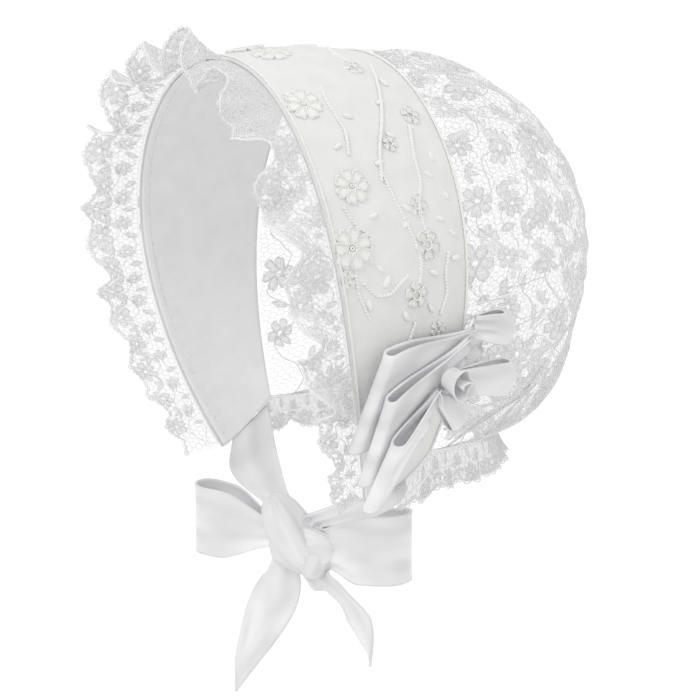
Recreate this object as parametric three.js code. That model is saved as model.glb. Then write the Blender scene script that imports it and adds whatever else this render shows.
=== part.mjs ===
// Baby lace hat: a christening bonnet with a lined band, a gathered lace back, a lace ruffle
// round the face, a satin rosette on the wearer's left and ribbons tied in a bow.
// Millimetres. +Z is up, the face looks along -Y, the wearer's left is +X.
// The origin is where the top of the head meets the lining, under the top of the back seam.
import * as THREE from 'three';

// Cloth walls and the space between pieces
const CLOTH = 1.0;
const GAP = 0.4;
const LINING_STACK = CLOTH + GAP;

// The two arches that the band runs between, each from the top down to its lower corner.
// The upper part is a quarter ellipse, the lower part a side that curves in to the corner.
const FRONT_ARCH = { topZ: 3, halfWidth: 60, shoulderDrop: 75, sideDrop: 72, cornerHalfWidth: 43 };
const SEAM_ARCH = {
  topZ: LINING_STACK, halfWidth: 62, shoulderDrop: 74, sideDrop: 57, cornerHalfWidth: 47,
};
const SHOULDER_SHARE = 0.56;
const FRONT_TOP_Y = -57;
const FRONT_SLOPE = 27;
const FRONT_SLOPE_POWER = 2.3;
const SEAM_SLOPE = -6;
const BAND_BULGE = 2.2;
const BAND_COLUMNS = 40;
const BAND_ROWS = 4;

// Lace back: it starts at the back seam and the nape and swells out to one rearmost point
const CROWN_POLE = { y: 92, z: -72 };
const NAPE_REACH = 56;
const NAPE_DROP = 2;
const CROWN_GATHERS = 16;
const CROWN_GATHER_DEPTH = 2.6;
const CROWN_ARCH_COLUMNS = 64;
const CROWN_NAPE_COLUMNS = 14;
const CROWN_ROWS = 8;
const CROWN_GAP_SIZE = 0.62;

// Ruffle round the face
const RUFFLE_WIDTH = 22;
const RUFFLE_END_WIDTH = 14;
const RUFFLE_FOLDS = 14;
const RUFFLE_SWING = 23;
const RUFFLE_END_SWING = 8;
// How far the ruffle stands outward from straight ahead, in degrees, from the right corner to the left.
// Above the wearer's left it droops forward.
const RUFFLE_FLARES = [
  { along: -1, flare: 12 },
  { along: -0.6, flare: 16 },
  { along: -0.2, flare: 12 },
  { along: 0, flare: 10 },
  { along: 0.25, flare: 2 },
  { along: 0.5, flare: 4 },
  { along: 0.75, flare: 12 },
  { along: 1, flare: 13 },
];
const RUFFLE_COLUMNS = 112;
const RUFFLE_ROWS = 3;
const RUFFLE_GAP_SIZE = 0.6;

// Frill at the nape
const FRILL_WIDTH = 12;
const FRILL_LEFT_WIDTH = 6;
const FRILL_FOLDS = 12;
const FRILL_FLARE = 14;
const FRILL_SWING = 12;
const FRILL_COLUMNS = 54;
const FRILL_OFFSET = { nape: 1, ends: 2.1, over: 0.02 };
const FRILL_ENDS = { left: -0.1, right: 1.03, forward: 6 };
const FRILL_ROWS = 2;

// Corded seams
const PIPING_RADIUS = 0.9;
const PIPING_STEPS = 40;

// Satin rosette on the wearer's left. Its plane lies against the side of the band:
// forward runs to the face, up to the crown, out away from the head.
const ROSETTE_Y = -6;
const ROSETTE_Z = -97;
const ROSETTE_LEAN = 11;
const ROSETTE_LIFT = 3.6;
const ROSETTE_LOOPS = [
  { name: 'rosette_loop_1', pinch: [-5, 8, 0.6], fold: [39.5, -5, 3.4], widthPinch: 14, widthFold: 35,
    leanPinch: 6, leanFold: 17, puff: 5.0 },
  { name: 'rosette_loop_2', pinch: [4, 6, 4.6], fold: [40.5, -16, 10.4], widthPinch: 13, widthFold: 30,
    leanPinch: 10, leanFold: 14, puff: 5.0 },
  { name: 'rosette_loop_3', pinch: [27, -14, 13.2], fold: [42, -25, 17.9], widthPinch: 18, widthFold: 24,
    leanPinch: 18, leanFold: 21, puff: 6.0 },
  { name: 'rosette_loop_4', pinch: [-6.5, 15, 1.0], fold: [-17, 15, 5.0], widthPinch: 8, widthFold: 12,
    leanPinch: 0, leanFold: -15, puff: 4.5 },
  { name: 'rosette_loop_5', pinch: [8, 1, 9.5], fold: [-16.5, -1, 9.0], widthPinch: 8, widthFold: 12,
    leanPinch: 0, leanFold: 0, puff: 4.5 },
  { name: 'rosette_loop_6', pinch: [13, -4.5, 9.5], fold: [5, -14.5, 10.5], widthPinch: 7, widthFold: 9,
    leanPinch: 40, leanFold: 40, puff: 4.5 },
];
const BUD_PLACE = [13.5, 3, 11.2];
const BUD_RADIUS = 7.6;
const BUD_HEIGHT = 9;
const BUD_PETALS = 5;
const BUD_PETAL_DEPTH = 0.9;

// Ribbons and bow. Each row is a place on the ribbon's middle, with the way its width runs.
const RIBBON_WIDTH = 25;
const KNOT = { x: -1, y: -24, z: -173 };
const KNOT_SIZE = { x: 9, y: 7.5, z: 11 };
const BOW_TURN = 28;
const BOW_LOOPS = [
  { name: 'bow_loop_right', side: -1, reach: 33.5, rise: 7, puff: 11, widthPinch: 13 },
  { name: 'bow_loop_left', side: 1, reach: 32.5, rise: 5, puff: 12, widthPinch: 13 },
];
const TIES = [
  { name: 'tie_right', side: -1, back: 0.6, width: 19, hang: 15, sag: 9, leave: [-0.4, 0.45, 0.8] },
  { name: 'tie_left', side: 1, back: 0.32, width: 16, hang: 3, sag: 0, leave: [0.35, 0.2, 0.9] },
];
const TAILS = {
  bow_tail_right: [
    { x: -4, y: -26, z: -182.5, wx: 0.75, wy: 0.65, wz: 0.1, width: 9 },
    { x: -9, y: -29, z: -190, wx: 0.9, wy: 0.4, wz: 0.12, width: 18 },
    { x: -17, y: -33, z: -206, wx: 0.97, wy: -0.05, wz: 0.2, width: 24 },
    { x: -24.5, y: -38, z: -225, wx: 0.88, wy: -0.4, wz: 0.2, width: 24 },
  ],
  bow_tail_left: [
    { x: 3, y: -22, z: -182, wx: 0.7, wy: 0.6, wz: -0.3, width: 8 },
    { x: 10, y: -18, z: -187, wx: 0.9, wy: 0.2, wz: -0.3, width: 14 },
    { x: 17, y: -13, z: -197, wx: 0.95, wy: -0.3, wz: -0.2, width: 20 },
    { x: 21, y: -11, z: -212, wx: 0.85, wy: -0.5, wz: -0.2, width: 20 },
  ],
};

const cotton = new THREE.MeshStandardMaterial({ color: 0xe4e4e6, roughness: 0.9, metalness: 0 });
const batiste = new THREE.MeshStandardMaterial({ color: 0xf3f2ea, roughness: 0.7, metalness: 0 });
const lace = new THREE.MeshStandardMaterial({ color: 0xf1f1f3, roughness: 0.85, metalness: 0 });
const satin = new THREE.MeshStandardMaterial({ color: 0xf0f0f2, roughness: 0.4, metalness: 0 });

const radians = THREE.MathUtils.degToRad;
const mix = THREE.MathUtils.lerp;
const ease = (share) => THREE.MathUtils.smoothstep(share, 0, 1);

// A place on one arch. Share runs from 0 at the top to 1 at the lower corner.
function archPlace(arch, share) {
  if (share <= SHOULDER_SHARE) {
    const turn = (share / SHOULDER_SHARE) * Math.PI / 2;
    return {
      x: arch.halfWidth * Math.sin(turn),
      z: arch.topZ - arch.shoulderDrop * (1 - Math.cos(turn)),
    };
  }
  const down = (share - SHOULDER_SHARE) / (1 - SHOULDER_SHARE);
  return {
    x: mix(arch.halfWidth, arch.cornerHalfWidth, down * down),
    z: arch.topZ - arch.shoulderDrop - arch.sideDrop * down,
  };
}

function dropShare(arch, z) {
  return (arch.topZ - z) / (arch.shoulderDrop + arch.sideDrop);
}

// The surface between the band and its lining. Along runs from -1, the right corner,
// over the top to 1, the left corner. Back runs from 0 at the face to 1 at the back seam.
function bandPlace(along, back) {
  const share = Math.abs(along);
  const side = along < 0 ? -1 : 1;
  const front = archPlace(FRONT_ARCH, share);
  const seam = archPlace(SEAM_ARCH, share);
  const frontY = FRONT_TOP_Y + FRONT_SLOPE * dropShare(FRONT_ARCH, front.z) ** FRONT_SLOPE_POWER;
  const seamY = SEAM_SLOPE * dropShare(SEAM_ARCH, seam.z) ** 2;
  const swell = 1 + (BAND_BULGE / SEAM_ARCH.halfWidth) * Math.sin(Math.PI * back);
  const middleZ = SEAM_ARCH.topZ - SEAM_ARCH.shoulderDrop;
  return new THREE.Vector3(
    side * mix(front.x, seam.x, back) * swell,
    mix(frontY, seamY, back),
    middleZ + (mix(front.z, seam.z, back) - middleZ) * swell,
  );
}

// Outward direction of any surface given by a function of two shares
function facing(place, first, second, outward) {
  const step = 1e-3;
  const acrossFirst = place(first + step, second).sub(place(first - step, second));
  const acrossSecond = place(first, second + step).sub(place(first, second - step));
  const direction = acrossFirst.cross(acrossSecond).normalize();
  if (direction.dot(outward) < 0) {
    direction.negate();
  }
  return direction;
}

function bandFacing(along, back) {
  const place = bandPlace(along, back);
  const outward = new THREE.Vector3(place.x, 0, place.z - (SEAM_ARCH.topZ - SEAM_ARCH.shoulderDrop));
  return facing(bandPlace, along, back, outward);
}

// A closed mesh from places and triangles, turned so that its faces point outward
function solidMesh(places, triangles, name, material) {
  let volume = 0;
  for (const [a, b, c] of triangles) {
    volume += places[a].dot(new THREE.Vector3().crossVectors(places[b], places[c]));
  }
  const index = [];
  for (const [a, b, c] of triangles) {
    index.push(...(volume > 0 ? [a, b, c] : [a, c, b]));
  }
  const geometry = new THREE.BufferGeometry();
  const coordinates = places.flatMap((place) => place.toArray());
  geometry.setAttribute('position', new THREE.Float32BufferAttribute(coordinates, 3));
  geometry.setIndex(index);
  geometry.computeVertexNormals();
  const mesh = new THREE.Mesh(geometry, material);
  mesh.name = name;
  return mesh;
}

// The six-sided gap in one cell of lace: which corner each side of the gap is joined to
const GAP_SIDES = [2, 3, 3, 0, 1, 1];
const GAP_TURNS = [[2, 3, 1], [3, 0, 3], [0, 1, 4], [1, 2, 0]];

// A thin wall over a grid of places. surface(column, row) gives the place and its outward
// direction. A closed wall joins its last column to its first. With a pole the rows end in one point.
function wall(name, material, columns, rows, surface, options = {}) {
  const { outer = CLOTH, inner = 0, closed = false, pole = null, gapSize = () => 0 } = options;
  const places = [];
  const triangles = [];
  const columnCount = closed ? columns : columns + 1;
  const add = (place) => places.push(place) - 1;
  const rowCount = pole ? rows : rows + 1;
  const faces = [outer, inner].map((offset) => {
    const grid = [];
    for (let i = 0; i < columnCount; i += 1) {
      const line = [];
      for (let j = 0; j < rowCount; j += 1) {
        const { place, out } = surface(i, j);
        line.push(add(place.clone().addScaledVector(out, offset)));
      }
      grid.push(line);
    }
    return { grid, tip: pole ? add(pole.place.clone().addScaledVector(pole.out, offset)) : -1 };
  });
  const at = (face, i, j) => faces[face].grid[i % columnCount][j];
  const quad = (a, b, c, d) => triangles.push([a, b, c], [a, c, d]);
  const cellRows = pole ? rows - 1 : rows;
  for (let i = 0; i < columns; i += 1) {
    for (let j = 0; j < cellRows; j += 1) {
      const size = gapSize(i, j);
      const rings = [];
      for (const face of [0, 1]) {
        const corners = [at(face, i, j), at(face, i + 1, j), at(face, i + 1, j + 1), at(face, i, j + 1)];
        const cell = [];
        if (size === 0) {
          cell.push([corners[0], corners[1], corners[2]], [corners[0], corners[2], corners[3]]);
        } else {
          const ring = GAP_SIDES.map((_, k) => {
            const across = 0.5 + 0.5 * size * Math.cos(k * Math.PI / 3);
            const along = 0.5 + 0.5 * size * Math.sin(k * Math.PI / 3);
            const near = places[corners[0]].clone().lerp(places[corners[1]], across);
            const far = places[corners[3]].clone().lerp(places[corners[2]], across);
            return add(near.lerp(far, along));
          });
          GAP_SIDES.forEach((corner, k) => cell.push([corners[corner], ring[(k + 1) % 6], ring[k]]));
          GAP_TURNS.forEach(([from, to, k]) => cell.push([corners[from], corners[to], ring[k]]));
          rings.push(ring);
        }
        for (const [a, b, c] of cell) {
          triangles.push(face === 0 ? [a, b, c] : [a, c, b]);
        }
      }
      if (size > 0) {
        for (let k = 0; k < 6; k += 1) {
          const next = (k + 1) % 6;
          quad(rings[0][k], rings[0][next], rings[1][next], rings[1][k]);
        }
      }
    }
    quad(at(1, i, 0), at(1, i + 1, 0), at(0, i + 1, 0), at(0, i, 0));
    if (pole) {
      triangles.push([at(0, i, rows - 1), at(0, i + 1, rows - 1), faces[0].tip]);
      triangles.push([at(1, i + 1, rows - 1), at(1, i, rows - 1), faces[1].tip]);
    } else {
      quad(at(0, i, rows), at(0, i + 1, rows), at(1, i + 1, rows), at(1, i, rows));
    }
  }
  if (!closed) {
    for (let j = 0; j < rows; j += 1) {
      quad(at(0, 0, j), at(0, 0, j + 1), at(1, 0, j + 1), at(1, 0, j));
      quad(at(1, columns, j), at(1, columns, j + 1), at(0, columns, j + 1), at(0, columns, j));
    }
  }
  return solidMesh(places, triangles, name, material);
}

// A flat ribbon through rows of { place, across, width }, where across is the way its width runs.
// A ribbon that isn't slanted has its width square to its run.
function ribbon(name, material, rows, slanted = false) {
  const surface = (i, j) => {
    const { place, across, width } = rows[i];
    const before = rows[Math.max(i - 1, 0)].place;
    const after = rows[Math.min(i + 1, rows.length - 1)].place;
    const run = after.clone().sub(before).normalize();
    const wide = across.clone().normalize();
    if (!slanted) {
      wide.addScaledVector(run, -wide.dot(run)).normalize();
    }
    const out = new THREE.Vector3().crossVectors(run, wide).normalize();
    return { place: place.clone().addScaledVector(wide, (j - 0.5) * width), out };
  };
  return wall(name, material, rows.length - 1, 1, surface, { outer: CLOTH / 2, inner: -CLOTH / 2 });
}

// The outline of a ribbon loop: two legs that spread from the pinch, and a round fold between them.
// Each row gives how far it is from the pinch and how far it stands off the middle.
function loopOutline(length, puff) {
  const legGap = (CLOTH + GAP) / 2;
  const radius = puff / 2;
  const legSteps = 5;
  const foldSteps = 6;
  const leg = [];
  for (let k = 0; k < legSteps; k += 1) {
    const share = k / legSteps;
    leg.push({ along: share * (length - radius), off: mix(legGap, radius, ease(share)) });
  }
  const fold = [];
  for (let k = 0; k <= foldSteps; k += 1) {
    const turn = Math.PI * (0.5 - k / foldSteps);
    fold.push({ along: length - radius + radius * Math.cos(turn), off: radius * Math.sin(turn) });
  }
  const back = leg.map(({ along, off }) => ({ along, off: -off })).reverse();
  return [...leg, ...fold, ...back];
}

const hat = new THREE.Group();
hat.name = 'baby_lace_hat';

// Band and lining
const bandSurface = (rows) => (i, j) => {
  const along = -1 + (2 * i) / BAND_COLUMNS;
  return { place: bandPlace(along, j / rows), out: bandFacing(along, j / rows) };
};
hat.add(wall('band', batiste, BAND_COLUMNS, BAND_ROWS, bandSurface(BAND_ROWS)));
hat.add(wall('lining', cotton, BAND_COLUMNS, BAND_ROWS - 1, bandSurface(BAND_ROWS - 1),
  { outer: -GAP, inner: -LINING_STACK }));

// Lace back. Its rim is the back seam from right to left, then the nape from left to right.
const corner = bandPlace(1, 1);
function crownRim(turn) {
  const columns = CROWN_ARCH_COLUMNS + CROWN_NAPE_COLUMNS;
  const column = ((turn % columns) + columns) % columns;
  if (column <= CROWN_ARCH_COLUMNS) {
    return bandPlace(-1 + (2 * column) / CROWN_ARCH_COLUMNS, 1);
  }
  const angle = Math.PI * (column - CROWN_ARCH_COLUMNS) / CROWN_NAPE_COLUMNS;
  return new THREE.Vector3(
    corner.x * Math.cos(angle),
    corner.y + NAPE_REACH * Math.sin(angle),
    corner.z - NAPE_DROP * Math.sin(angle),
  );
}

function crownPlace(column, share) {
  const rim = crownRim(column);
  const turn = share * Math.PI / 2;
  return new THREE.Vector3(
    rim.x * Math.cos(turn),
    rim.y + GAP + (CROWN_POLE.y - rim.y) * Math.sin(turn),
    CROWN_POLE.z + (rim.z - CROWN_POLE.z) * Math.cos(turn),
  );
}

function crownFacing(column, share) {
  const place = crownPlace(column, share);
  const outward = new THREE.Vector3(place.x, (place.y - 10) * share, place.z - CROWN_POLE.z);
  return facing(crownPlace, column, share, outward);
}

const crownShare = (row) => (row / CROWN_ROWS) ** 1.15;
const crownSurface = (i, j) => {
  const share = crownShare(j);
  const out = crownFacing(i, Math.max(share, 0.02));
  const onSeam = i <= CROWN_ARCH_COLUMNS;
  const folds = CROWN_GATHERS * (i / CROWN_ARCH_COLUMNS);
  const root = Math.sqrt(share);
  const depth = onSeam ? CROWN_GATHER_DEPTH * 4 * root * (1 - root) * (1 - share) ** 1.5 : 0;
  const place = crownPlace(i, share).addScaledVector(out, depth * Math.sin(2 * Math.PI * folds));
  return { place, out };
};
const crownGap = (i, j) => (j > 0 && (i + 2 * j) % 6 === 0 && j < CROWN_ROWS - 2 ? CROWN_GAP_SIZE : 0);
hat.add(wall('back_crown', lace, CROWN_ARCH_COLUMNS + CROWN_NAPE_COLUMNS, CROWN_ROWS, crownSurface, {
  outer: CLOTH / 2,
  inner: -CLOTH / 2,
  closed: true,
  pole: {
    place: new THREE.Vector3(0, CROWN_POLE.y + GAP, CROWN_POLE.z),
    out: new THREE.Vector3(0, 1, 0),
  },
  gapSize: crownGap,
}));

// Ruffle round the face: it stands forward and outward, and swings in folds
function ruffleFlare(along) {
  const next = Math.max(1, RUFFLE_FLARES.findIndex((row) => row.along >= along));
  const from = RUFFLE_FLARES[next - 1];
  const to = RUFFLE_FLARES[next];
  return mix(from.flare, to.flare, ease((along - from.along) / (to.along - from.along)));
}

function rufflePlace(along, share) {
  const seam = bandPlace(along, 0);
  const out = bandFacing(along, 0);
  out.y = 0;
  out.normalize();
  const low = Math.abs(along) ** 3;
  const width = mix(RUFFLE_WIDTH, RUFFLE_END_WIDTH, low);
  const fold = Math.PI * RUFFLE_FOLDS * along;
  const swing = mix(RUFFLE_SWING, RUFFLE_END_SWING, low) * Math.sin(fold + 0.6 * Math.sin(3.1 * along));
  const lift = radians(ruffleFlare(along) + swing * share ** 0.6);
  const reach = width * share;
  return new THREE.Vector3(
    seam.x + out.x * reach * Math.sin(lift),
    seam.y - GAP - reach * Math.cos(lift),
    seam.z + out.z * reach * Math.sin(lift),
  );
}
const ruffleSurface = (i, j) => {
  const along = -1 + (2 * i) / RUFFLE_COLUMNS;
  const share = j / RUFFLE_ROWS;
  const place = rufflePlace(along, share);
  const outward = new THREE.Vector3(place.x, 0, place.z - CROWN_POLE.z);
  return { place, out: facing(rufflePlace, along, Math.max(share, 0.02), outward) };
};
const ruffleGap = (i, j) => (j === 1 && i % 4 === 1 ? RUFFLE_GAP_SIZE : 0);
hat.add(wall('front_ruffle', lace, RUFFLE_COLUMNS, RUFFLE_ROWS, ruffleSurface,
  { outer: CLOTH / 2, inner: -CLOTH / 2, gapSize: ruffleGap }));

// Frill at the nape: it hangs under the rim of the lace back. Past each end of the rim it
// runs forward a little way under the lower edge of the band.
function frillRim(along) {
  if (along < 0) {
    return bandPlace(1, 1 + along * FRILL_ENDS.forward);
  }
  if (along > 1) {
    return bandPlace(-1, 1 - (along - 1) * FRILL_ENDS.forward);
  }
  return crownRim(CROWN_ARCH_COLUMNS + CROWN_NAPE_COLUMNS * along);
}

function frillPlace(along, share) {
  const rim = frillRim(along);
  const outward = new THREE.Vector3(rim.x, Math.max(0, rim.y - corner.y), 0).normalize();
  const swing = FRILL_SWING * Math.sin(2 * Math.PI * FRILL_FOLDS * along) * share;
  const lean = radians(FRILL_FLARE + swing);
  const width = mix(FRILL_WIDTH, FRILL_LEFT_WIDTH, ease(along / FRILL_ENDS.left));
  const reach = width * share;
  const toEnd = 1 - Math.min(along, 1 - along) / FRILL_OFFSET.over;
  const offset = mix(FRILL_OFFSET.nape, FRILL_OFFSET.ends, ease(toEnd));
  return new THREE.Vector3(
    rim.x + outward.x * (offset + reach * Math.sin(lean)),
    rim.y + outward.y * (offset + reach * Math.sin(lean)) + GAP,
    rim.z - CLOTH - GAP - reach * Math.cos(lean),
  );
}
const frillSurface = (i, j) => {
  const along = mix(FRILL_ENDS.left, FRILL_ENDS.right, i / FRILL_COLUMNS);
  const share = j / FRILL_ROWS;
  const place = frillPlace(along, share);
  const outward = new THREE.Vector3(place.x, place.y - corner.y, 0);
  return { place, out: facing(frillPlace, along, Math.max(share, 0.02), outward) };
};
hat.add(wall('neck_frill', lace, FRILL_COLUMNS, FRILL_ROWS, frillSurface,
  { outer: CLOTH / 2, inner: -CLOTH / 2 }));

// Corded seams, lying on the outside of the band along its two long edges
function piping(name, back) {
  const places = [];
  for (let k = 0; k <= PIPING_STEPS; k += 1) {
    const along = -0.99 + (1.98 * k) / PIPING_STEPS;
    const lift = CLOTH + GAP + PIPING_RADIUS;
    places.push(bandPlace(along, back).addScaledVector(bandFacing(along, back), lift));
  }
  const section = new THREE.Shape();
  section.absarc(0, 0, PIPING_RADIUS, 0, 2 * Math.PI);
  const geometry = new THREE.ExtrudeGeometry(section, {
    steps: PIPING_STEPS,
    curveSegments: 3,
    bevelEnabled: false,
    extrudePath: new THREE.CatmullRomCurve3(places),
  });
  const mesh = new THREE.Mesh(geometry, batiste);
  mesh.name = name;
  return mesh;
}
hat.add(piping('front_piping', 0.02));
hat.add(piping('back_piping', 0.98));

// Rosette
const rosetteDown = (ROSETTE_Z - corner.z) / SEAM_ARCH.sideDrop;
const rosetteSide = archPlace(SEAM_ARCH, 1 - rosetteDown * (1 - SHOULDER_SHARE));
const rosetteTurn = radians(ROSETTE_LEAN);
const rosetteUp = new THREE.Vector3(Math.sin(rosetteTurn), 0, Math.cos(rosetteTurn));
const rosetteOut = new THREE.Vector3(Math.cos(rosetteTurn), 0, -Math.sin(rosetteTurn));
const rosetteForward = new THREE.Vector3(0, -1, 0);
const rosetteMiddle = new THREE.Vector3(rosetteSide.x, ROSETTE_Y, ROSETTE_Z)
  .addScaledVector(rosetteOut, CLOTH + ROSETTE_LIFT);
function rosettePlace([forward, up, out]) {
  return rosetteMiddle.clone()
    .addScaledVector(rosetteForward, forward)
    .addScaledVector(rosetteUp, up)
    .addScaledVector(rosetteOut, out);
}
function rosetteAcross(lean) {
  return rosetteUp.clone().multiplyScalar(Math.cos(radians(lean)))
    .addScaledVector(rosetteForward, -Math.sin(radians(lean)));
}
for (const loop of ROSETTE_LOOPS) {
  const pinch = rosettePlace(loop.pinch);
  const fold = rosettePlace(loop.fold);
  const length = pinch.distanceTo(fold);
  const run = fold.clone().sub(pinch).normalize();
  const stand = rosetteOut.clone().addScaledVector(run, -rosetteOut.dot(run)).normalize();
  const rows = loopOutline(length, loop.puff).map(({ along, off }) => {
    const share = along / length;
    return {
      place: pinch.clone().addScaledVector(run, along).addScaledVector(stand, off),
      across: rosetteAcross(mix(loop.leanPinch, loop.leanFold, share)),
      width: mix(loop.widthPinch, loop.widthFold, ease(share)),
    };
  });
  hat.add(ribbon(loop.name, satin, rows, true));
}

// Rolled bud in the middle of the rosette: a small dome with petal edges that wind round it
const budPlaces = [];
const budTriangles = [];
const BUD_STEPS = 20;
const BUD_RINGS = 5;
const budFoot = rosettePlace(BUD_PLACE);
const budAt = (angle, radius, height) => budFoot.clone()
  .addScaledVector(rosetteForward, radius * Math.cos(angle))
  .addScaledVector(rosetteUp, radius * Math.sin(angle))
  .addScaledVector(rosetteOut, height);
budPlaces.push(budAt(0, 0, 0), budAt(0, 0, BUD_HEIGHT));
for (let ring = 0; ring < BUD_RINGS; ring += 1) {
  const climb = ring / BUD_RINGS;
  for (let k = 0; k < BUD_STEPS; k += 1) {
    const angle = (2 * Math.PI * k) / BUD_STEPS;
    const petal = BUD_PETAL_DEPTH * Math.sin(BUD_PETALS * angle + 5 * climb);
    const radius = BUD_RADIUS * Math.cos(climb * Math.PI / 2) ** 0.6 + petal * (1 - climb);
    budPlaces.push(budAt(angle, radius, BUD_HEIGHT * Math.sin(climb * Math.PI / 2)));
  }
}
for (let k = 0; k < BUD_STEPS; k += 1) {
  const next = (k + 1) % BUD_STEPS;
  budTriangles.push([0, 2 + next, 2 + k]);
  for (let ring = 0; ring < BUD_RINGS - 1; ring += 1) {
    const low = 2 + ring * BUD_STEPS;
    const high = low + BUD_STEPS;
    budTriangles.push([low + k, low + next, high + next], [low + k, high + next, high + k]);
  }
  const last = 2 + (BUD_RINGS - 1) * BUD_STEPS;
  budTriangles.push([last + k, last + next, 1]);
}
hat.add(solidMesh(budPlaces, budTriangles, 'rosette_bud', satin));

// Knot of the bow
const knotGeometry = new THREE.SphereGeometry(1, 16, 10);
knotGeometry.scale(KNOT_SIZE.x, KNOT_SIZE.y, KNOT_SIZE.z);
knotGeometry.rotateZ(radians(BOW_TURN));
knotGeometry.translate(KNOT.x, KNOT.y, KNOT.z);
const knot = new THREE.Mesh(knotGeometry, satin);
knot.name = 'bow_knot';
hat.add(knot);
const knotMiddle = new THREE.Vector3(KNOT.x, KNOT.y, KNOT.z);
const bowSide = new THREE.Vector3(Math.cos(radians(BOW_TURN)), Math.sin(radians(BOW_TURN)), 0);
const bowDepth = new THREE.Vector3(-bowSide.y, bowSide.x, 0);

// Where a ribbon that runs the given way meets the knot
function knotEdge(x, y, z) {
  const run = new THREE.Vector3(x, y, z).normalize();
  const reach = Math.hypot(
    run.dot(bowSide) / KNOT_SIZE.x,
    run.dot(bowDepth) / KNOT_SIZE.y,
    run.z / KNOT_SIZE.z,
  );
  return knotMiddle.clone().addScaledVector(run, 1 / reach + GAP);
}

// Bow loops: each leaves the knot sideways and folds back on itself
for (const loop of BOW_LOOPS) {
  const start = knotMiddle.clone().addScaledVector(bowSide, loop.side * (KNOT_SIZE.x + GAP));
  const run = bowSide.clone().multiplyScalar(loop.side * loop.reach);
  run.z += loop.rise;
  run.normalize();
  const rows = loopOutline(loop.reach, loop.puff).map(({ along, off }) => {
    const share = along / loop.reach;
    return {
      place: start.clone().addScaledVector(run, along).addScaledVector(bowDepth, off),
      across: new THREE.Vector3(0, 0, 1),
      width: mix(loop.widthPinch, RIBBON_WIDTH, ease(Math.min(1, share * 2))),
    };
  });
  hat.add(ribbon(loop.name, satin, rows));
}

// Ties: each leaves the lower edge of the band with its width along that edge, and runs to the knot
for (const tie of TIES) {
  const frontCorner = bandPlace(tie.side, 0);
  const backCorner = bandPlace(tie.side, 1);
  const edge = backCorner.clone().sub(frontCorner).normalize();
  const top = bandPlace(tie.side, tie.back);
  top.z -= GAP + CLOTH;
  const end = knotEdge(...tie.leave).add(new THREE.Vector3(tie.side * 0.45, 0, 0.5));
  const path = new THREE.CatmullRomCurve3([
    top,
    top.clone().lerp(end, 0.08).setZ(top.z - tie.hang),
    top.clone().lerp(end, 0.42).setZ(mix(top.z - tie.hang, end.z, 0.42) - tie.sag / 2),
    end,
  ]);
  const leave = new THREE.Vector3(...tie.leave).normalize();
  const across = new THREE.Vector3(tie.side * 0.3, 0.9, 0.1);
  across.addScaledVector(leave, -across.dot(leave)).normalize();
  const rows = [];
  const steps = 9;
  for (let k = 0; k <= steps; k += 1) {
    const share = k / steps;
    rows.push({
      place: path.getPoint(share),
      across: edge.clone().lerp(across, share),
      width: mix(tie.width, 9, ease(share) ** 1.5),
    });
  }
  hat.add(ribbon(tie.name, satin, rows, true));
}

// Tails: the free ends of the bow
for (const [name, table] of Object.entries(TAILS)) {
  const stops = table.map(({ x, y, z }) => new THREE.Vector3(x, y, z));
  const leave = stops[0].clone().sub(knotMiddle);
  stops[0] = knotEdge(leave.x, leave.y, leave.z);
  const path = new THREE.CatmullRomCurve3(stops);
  const rows = [];
  const steps = 9;
  for (let k = 0; k <= steps; k += 1) {
    const spot = (k / steps) * (table.length - 1);
    const from = table[Math.min(Math.floor(spot), table.length - 2)];
    const to = table[Math.min(Math.floor(spot) + 1, table.length - 1)];
    const share = spot - Math.min(Math.floor(spot), table.length - 2);
    const across = new THREE.Vector3(from.wx, from.wy, from.wz)
      .lerp(new THREE.Vector3(to.wx, to.wy, to.wz), share);
    rows.push({ place: path.getPoint(k / steps), across, width: mix(from.width, to.width, share) });
  }
  hat.add(ribbon(name, satin, rows));
}

export default hat;
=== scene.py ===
# %% [markdown]
# # A baby lace hat
# This lesson dresses the plain solids of a white baby hat until they look like cloth.
# The hat has a smooth band over the head, a lining, a gathered lace back, a lace ruffle round the
# face, a lace frill at the nape, a ribbon rosette on one side and ties in a bow under the chin.
# The solids come in through the frame, and every piece that is made here stays where its solid is.

# %% Load the frame
import math

import bmesh
import bpy
import numpy as np
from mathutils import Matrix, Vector


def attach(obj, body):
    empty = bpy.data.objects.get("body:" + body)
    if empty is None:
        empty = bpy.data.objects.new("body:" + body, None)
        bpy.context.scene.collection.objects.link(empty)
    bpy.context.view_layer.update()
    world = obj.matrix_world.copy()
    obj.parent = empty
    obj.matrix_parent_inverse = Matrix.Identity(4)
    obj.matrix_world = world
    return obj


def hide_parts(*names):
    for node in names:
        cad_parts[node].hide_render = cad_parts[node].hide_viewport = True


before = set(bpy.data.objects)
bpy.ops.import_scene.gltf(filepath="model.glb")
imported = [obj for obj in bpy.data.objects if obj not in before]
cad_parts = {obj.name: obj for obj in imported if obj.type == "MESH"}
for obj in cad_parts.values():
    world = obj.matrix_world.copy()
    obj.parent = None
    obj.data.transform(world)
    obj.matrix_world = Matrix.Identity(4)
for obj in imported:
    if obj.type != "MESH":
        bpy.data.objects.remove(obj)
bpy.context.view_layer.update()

MM = 0.001

# %% [markdown]
# The camera comes first, because everything is judged through it. Its turn and rise were found by
# laying the solids over the photograph. A long lens from 85 cm keeps the hat's shape true.

# %% Camera
CAMERA_TURN = math.radians(53.5)
CAMERA_RISE = math.radians(13.0)
CAMERA_AWAY = 0.85
CAMERA_AIM = Vector((-9.5, 3.0, -106.0)) * MM
CAMERA_LENS = 121.4

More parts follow.
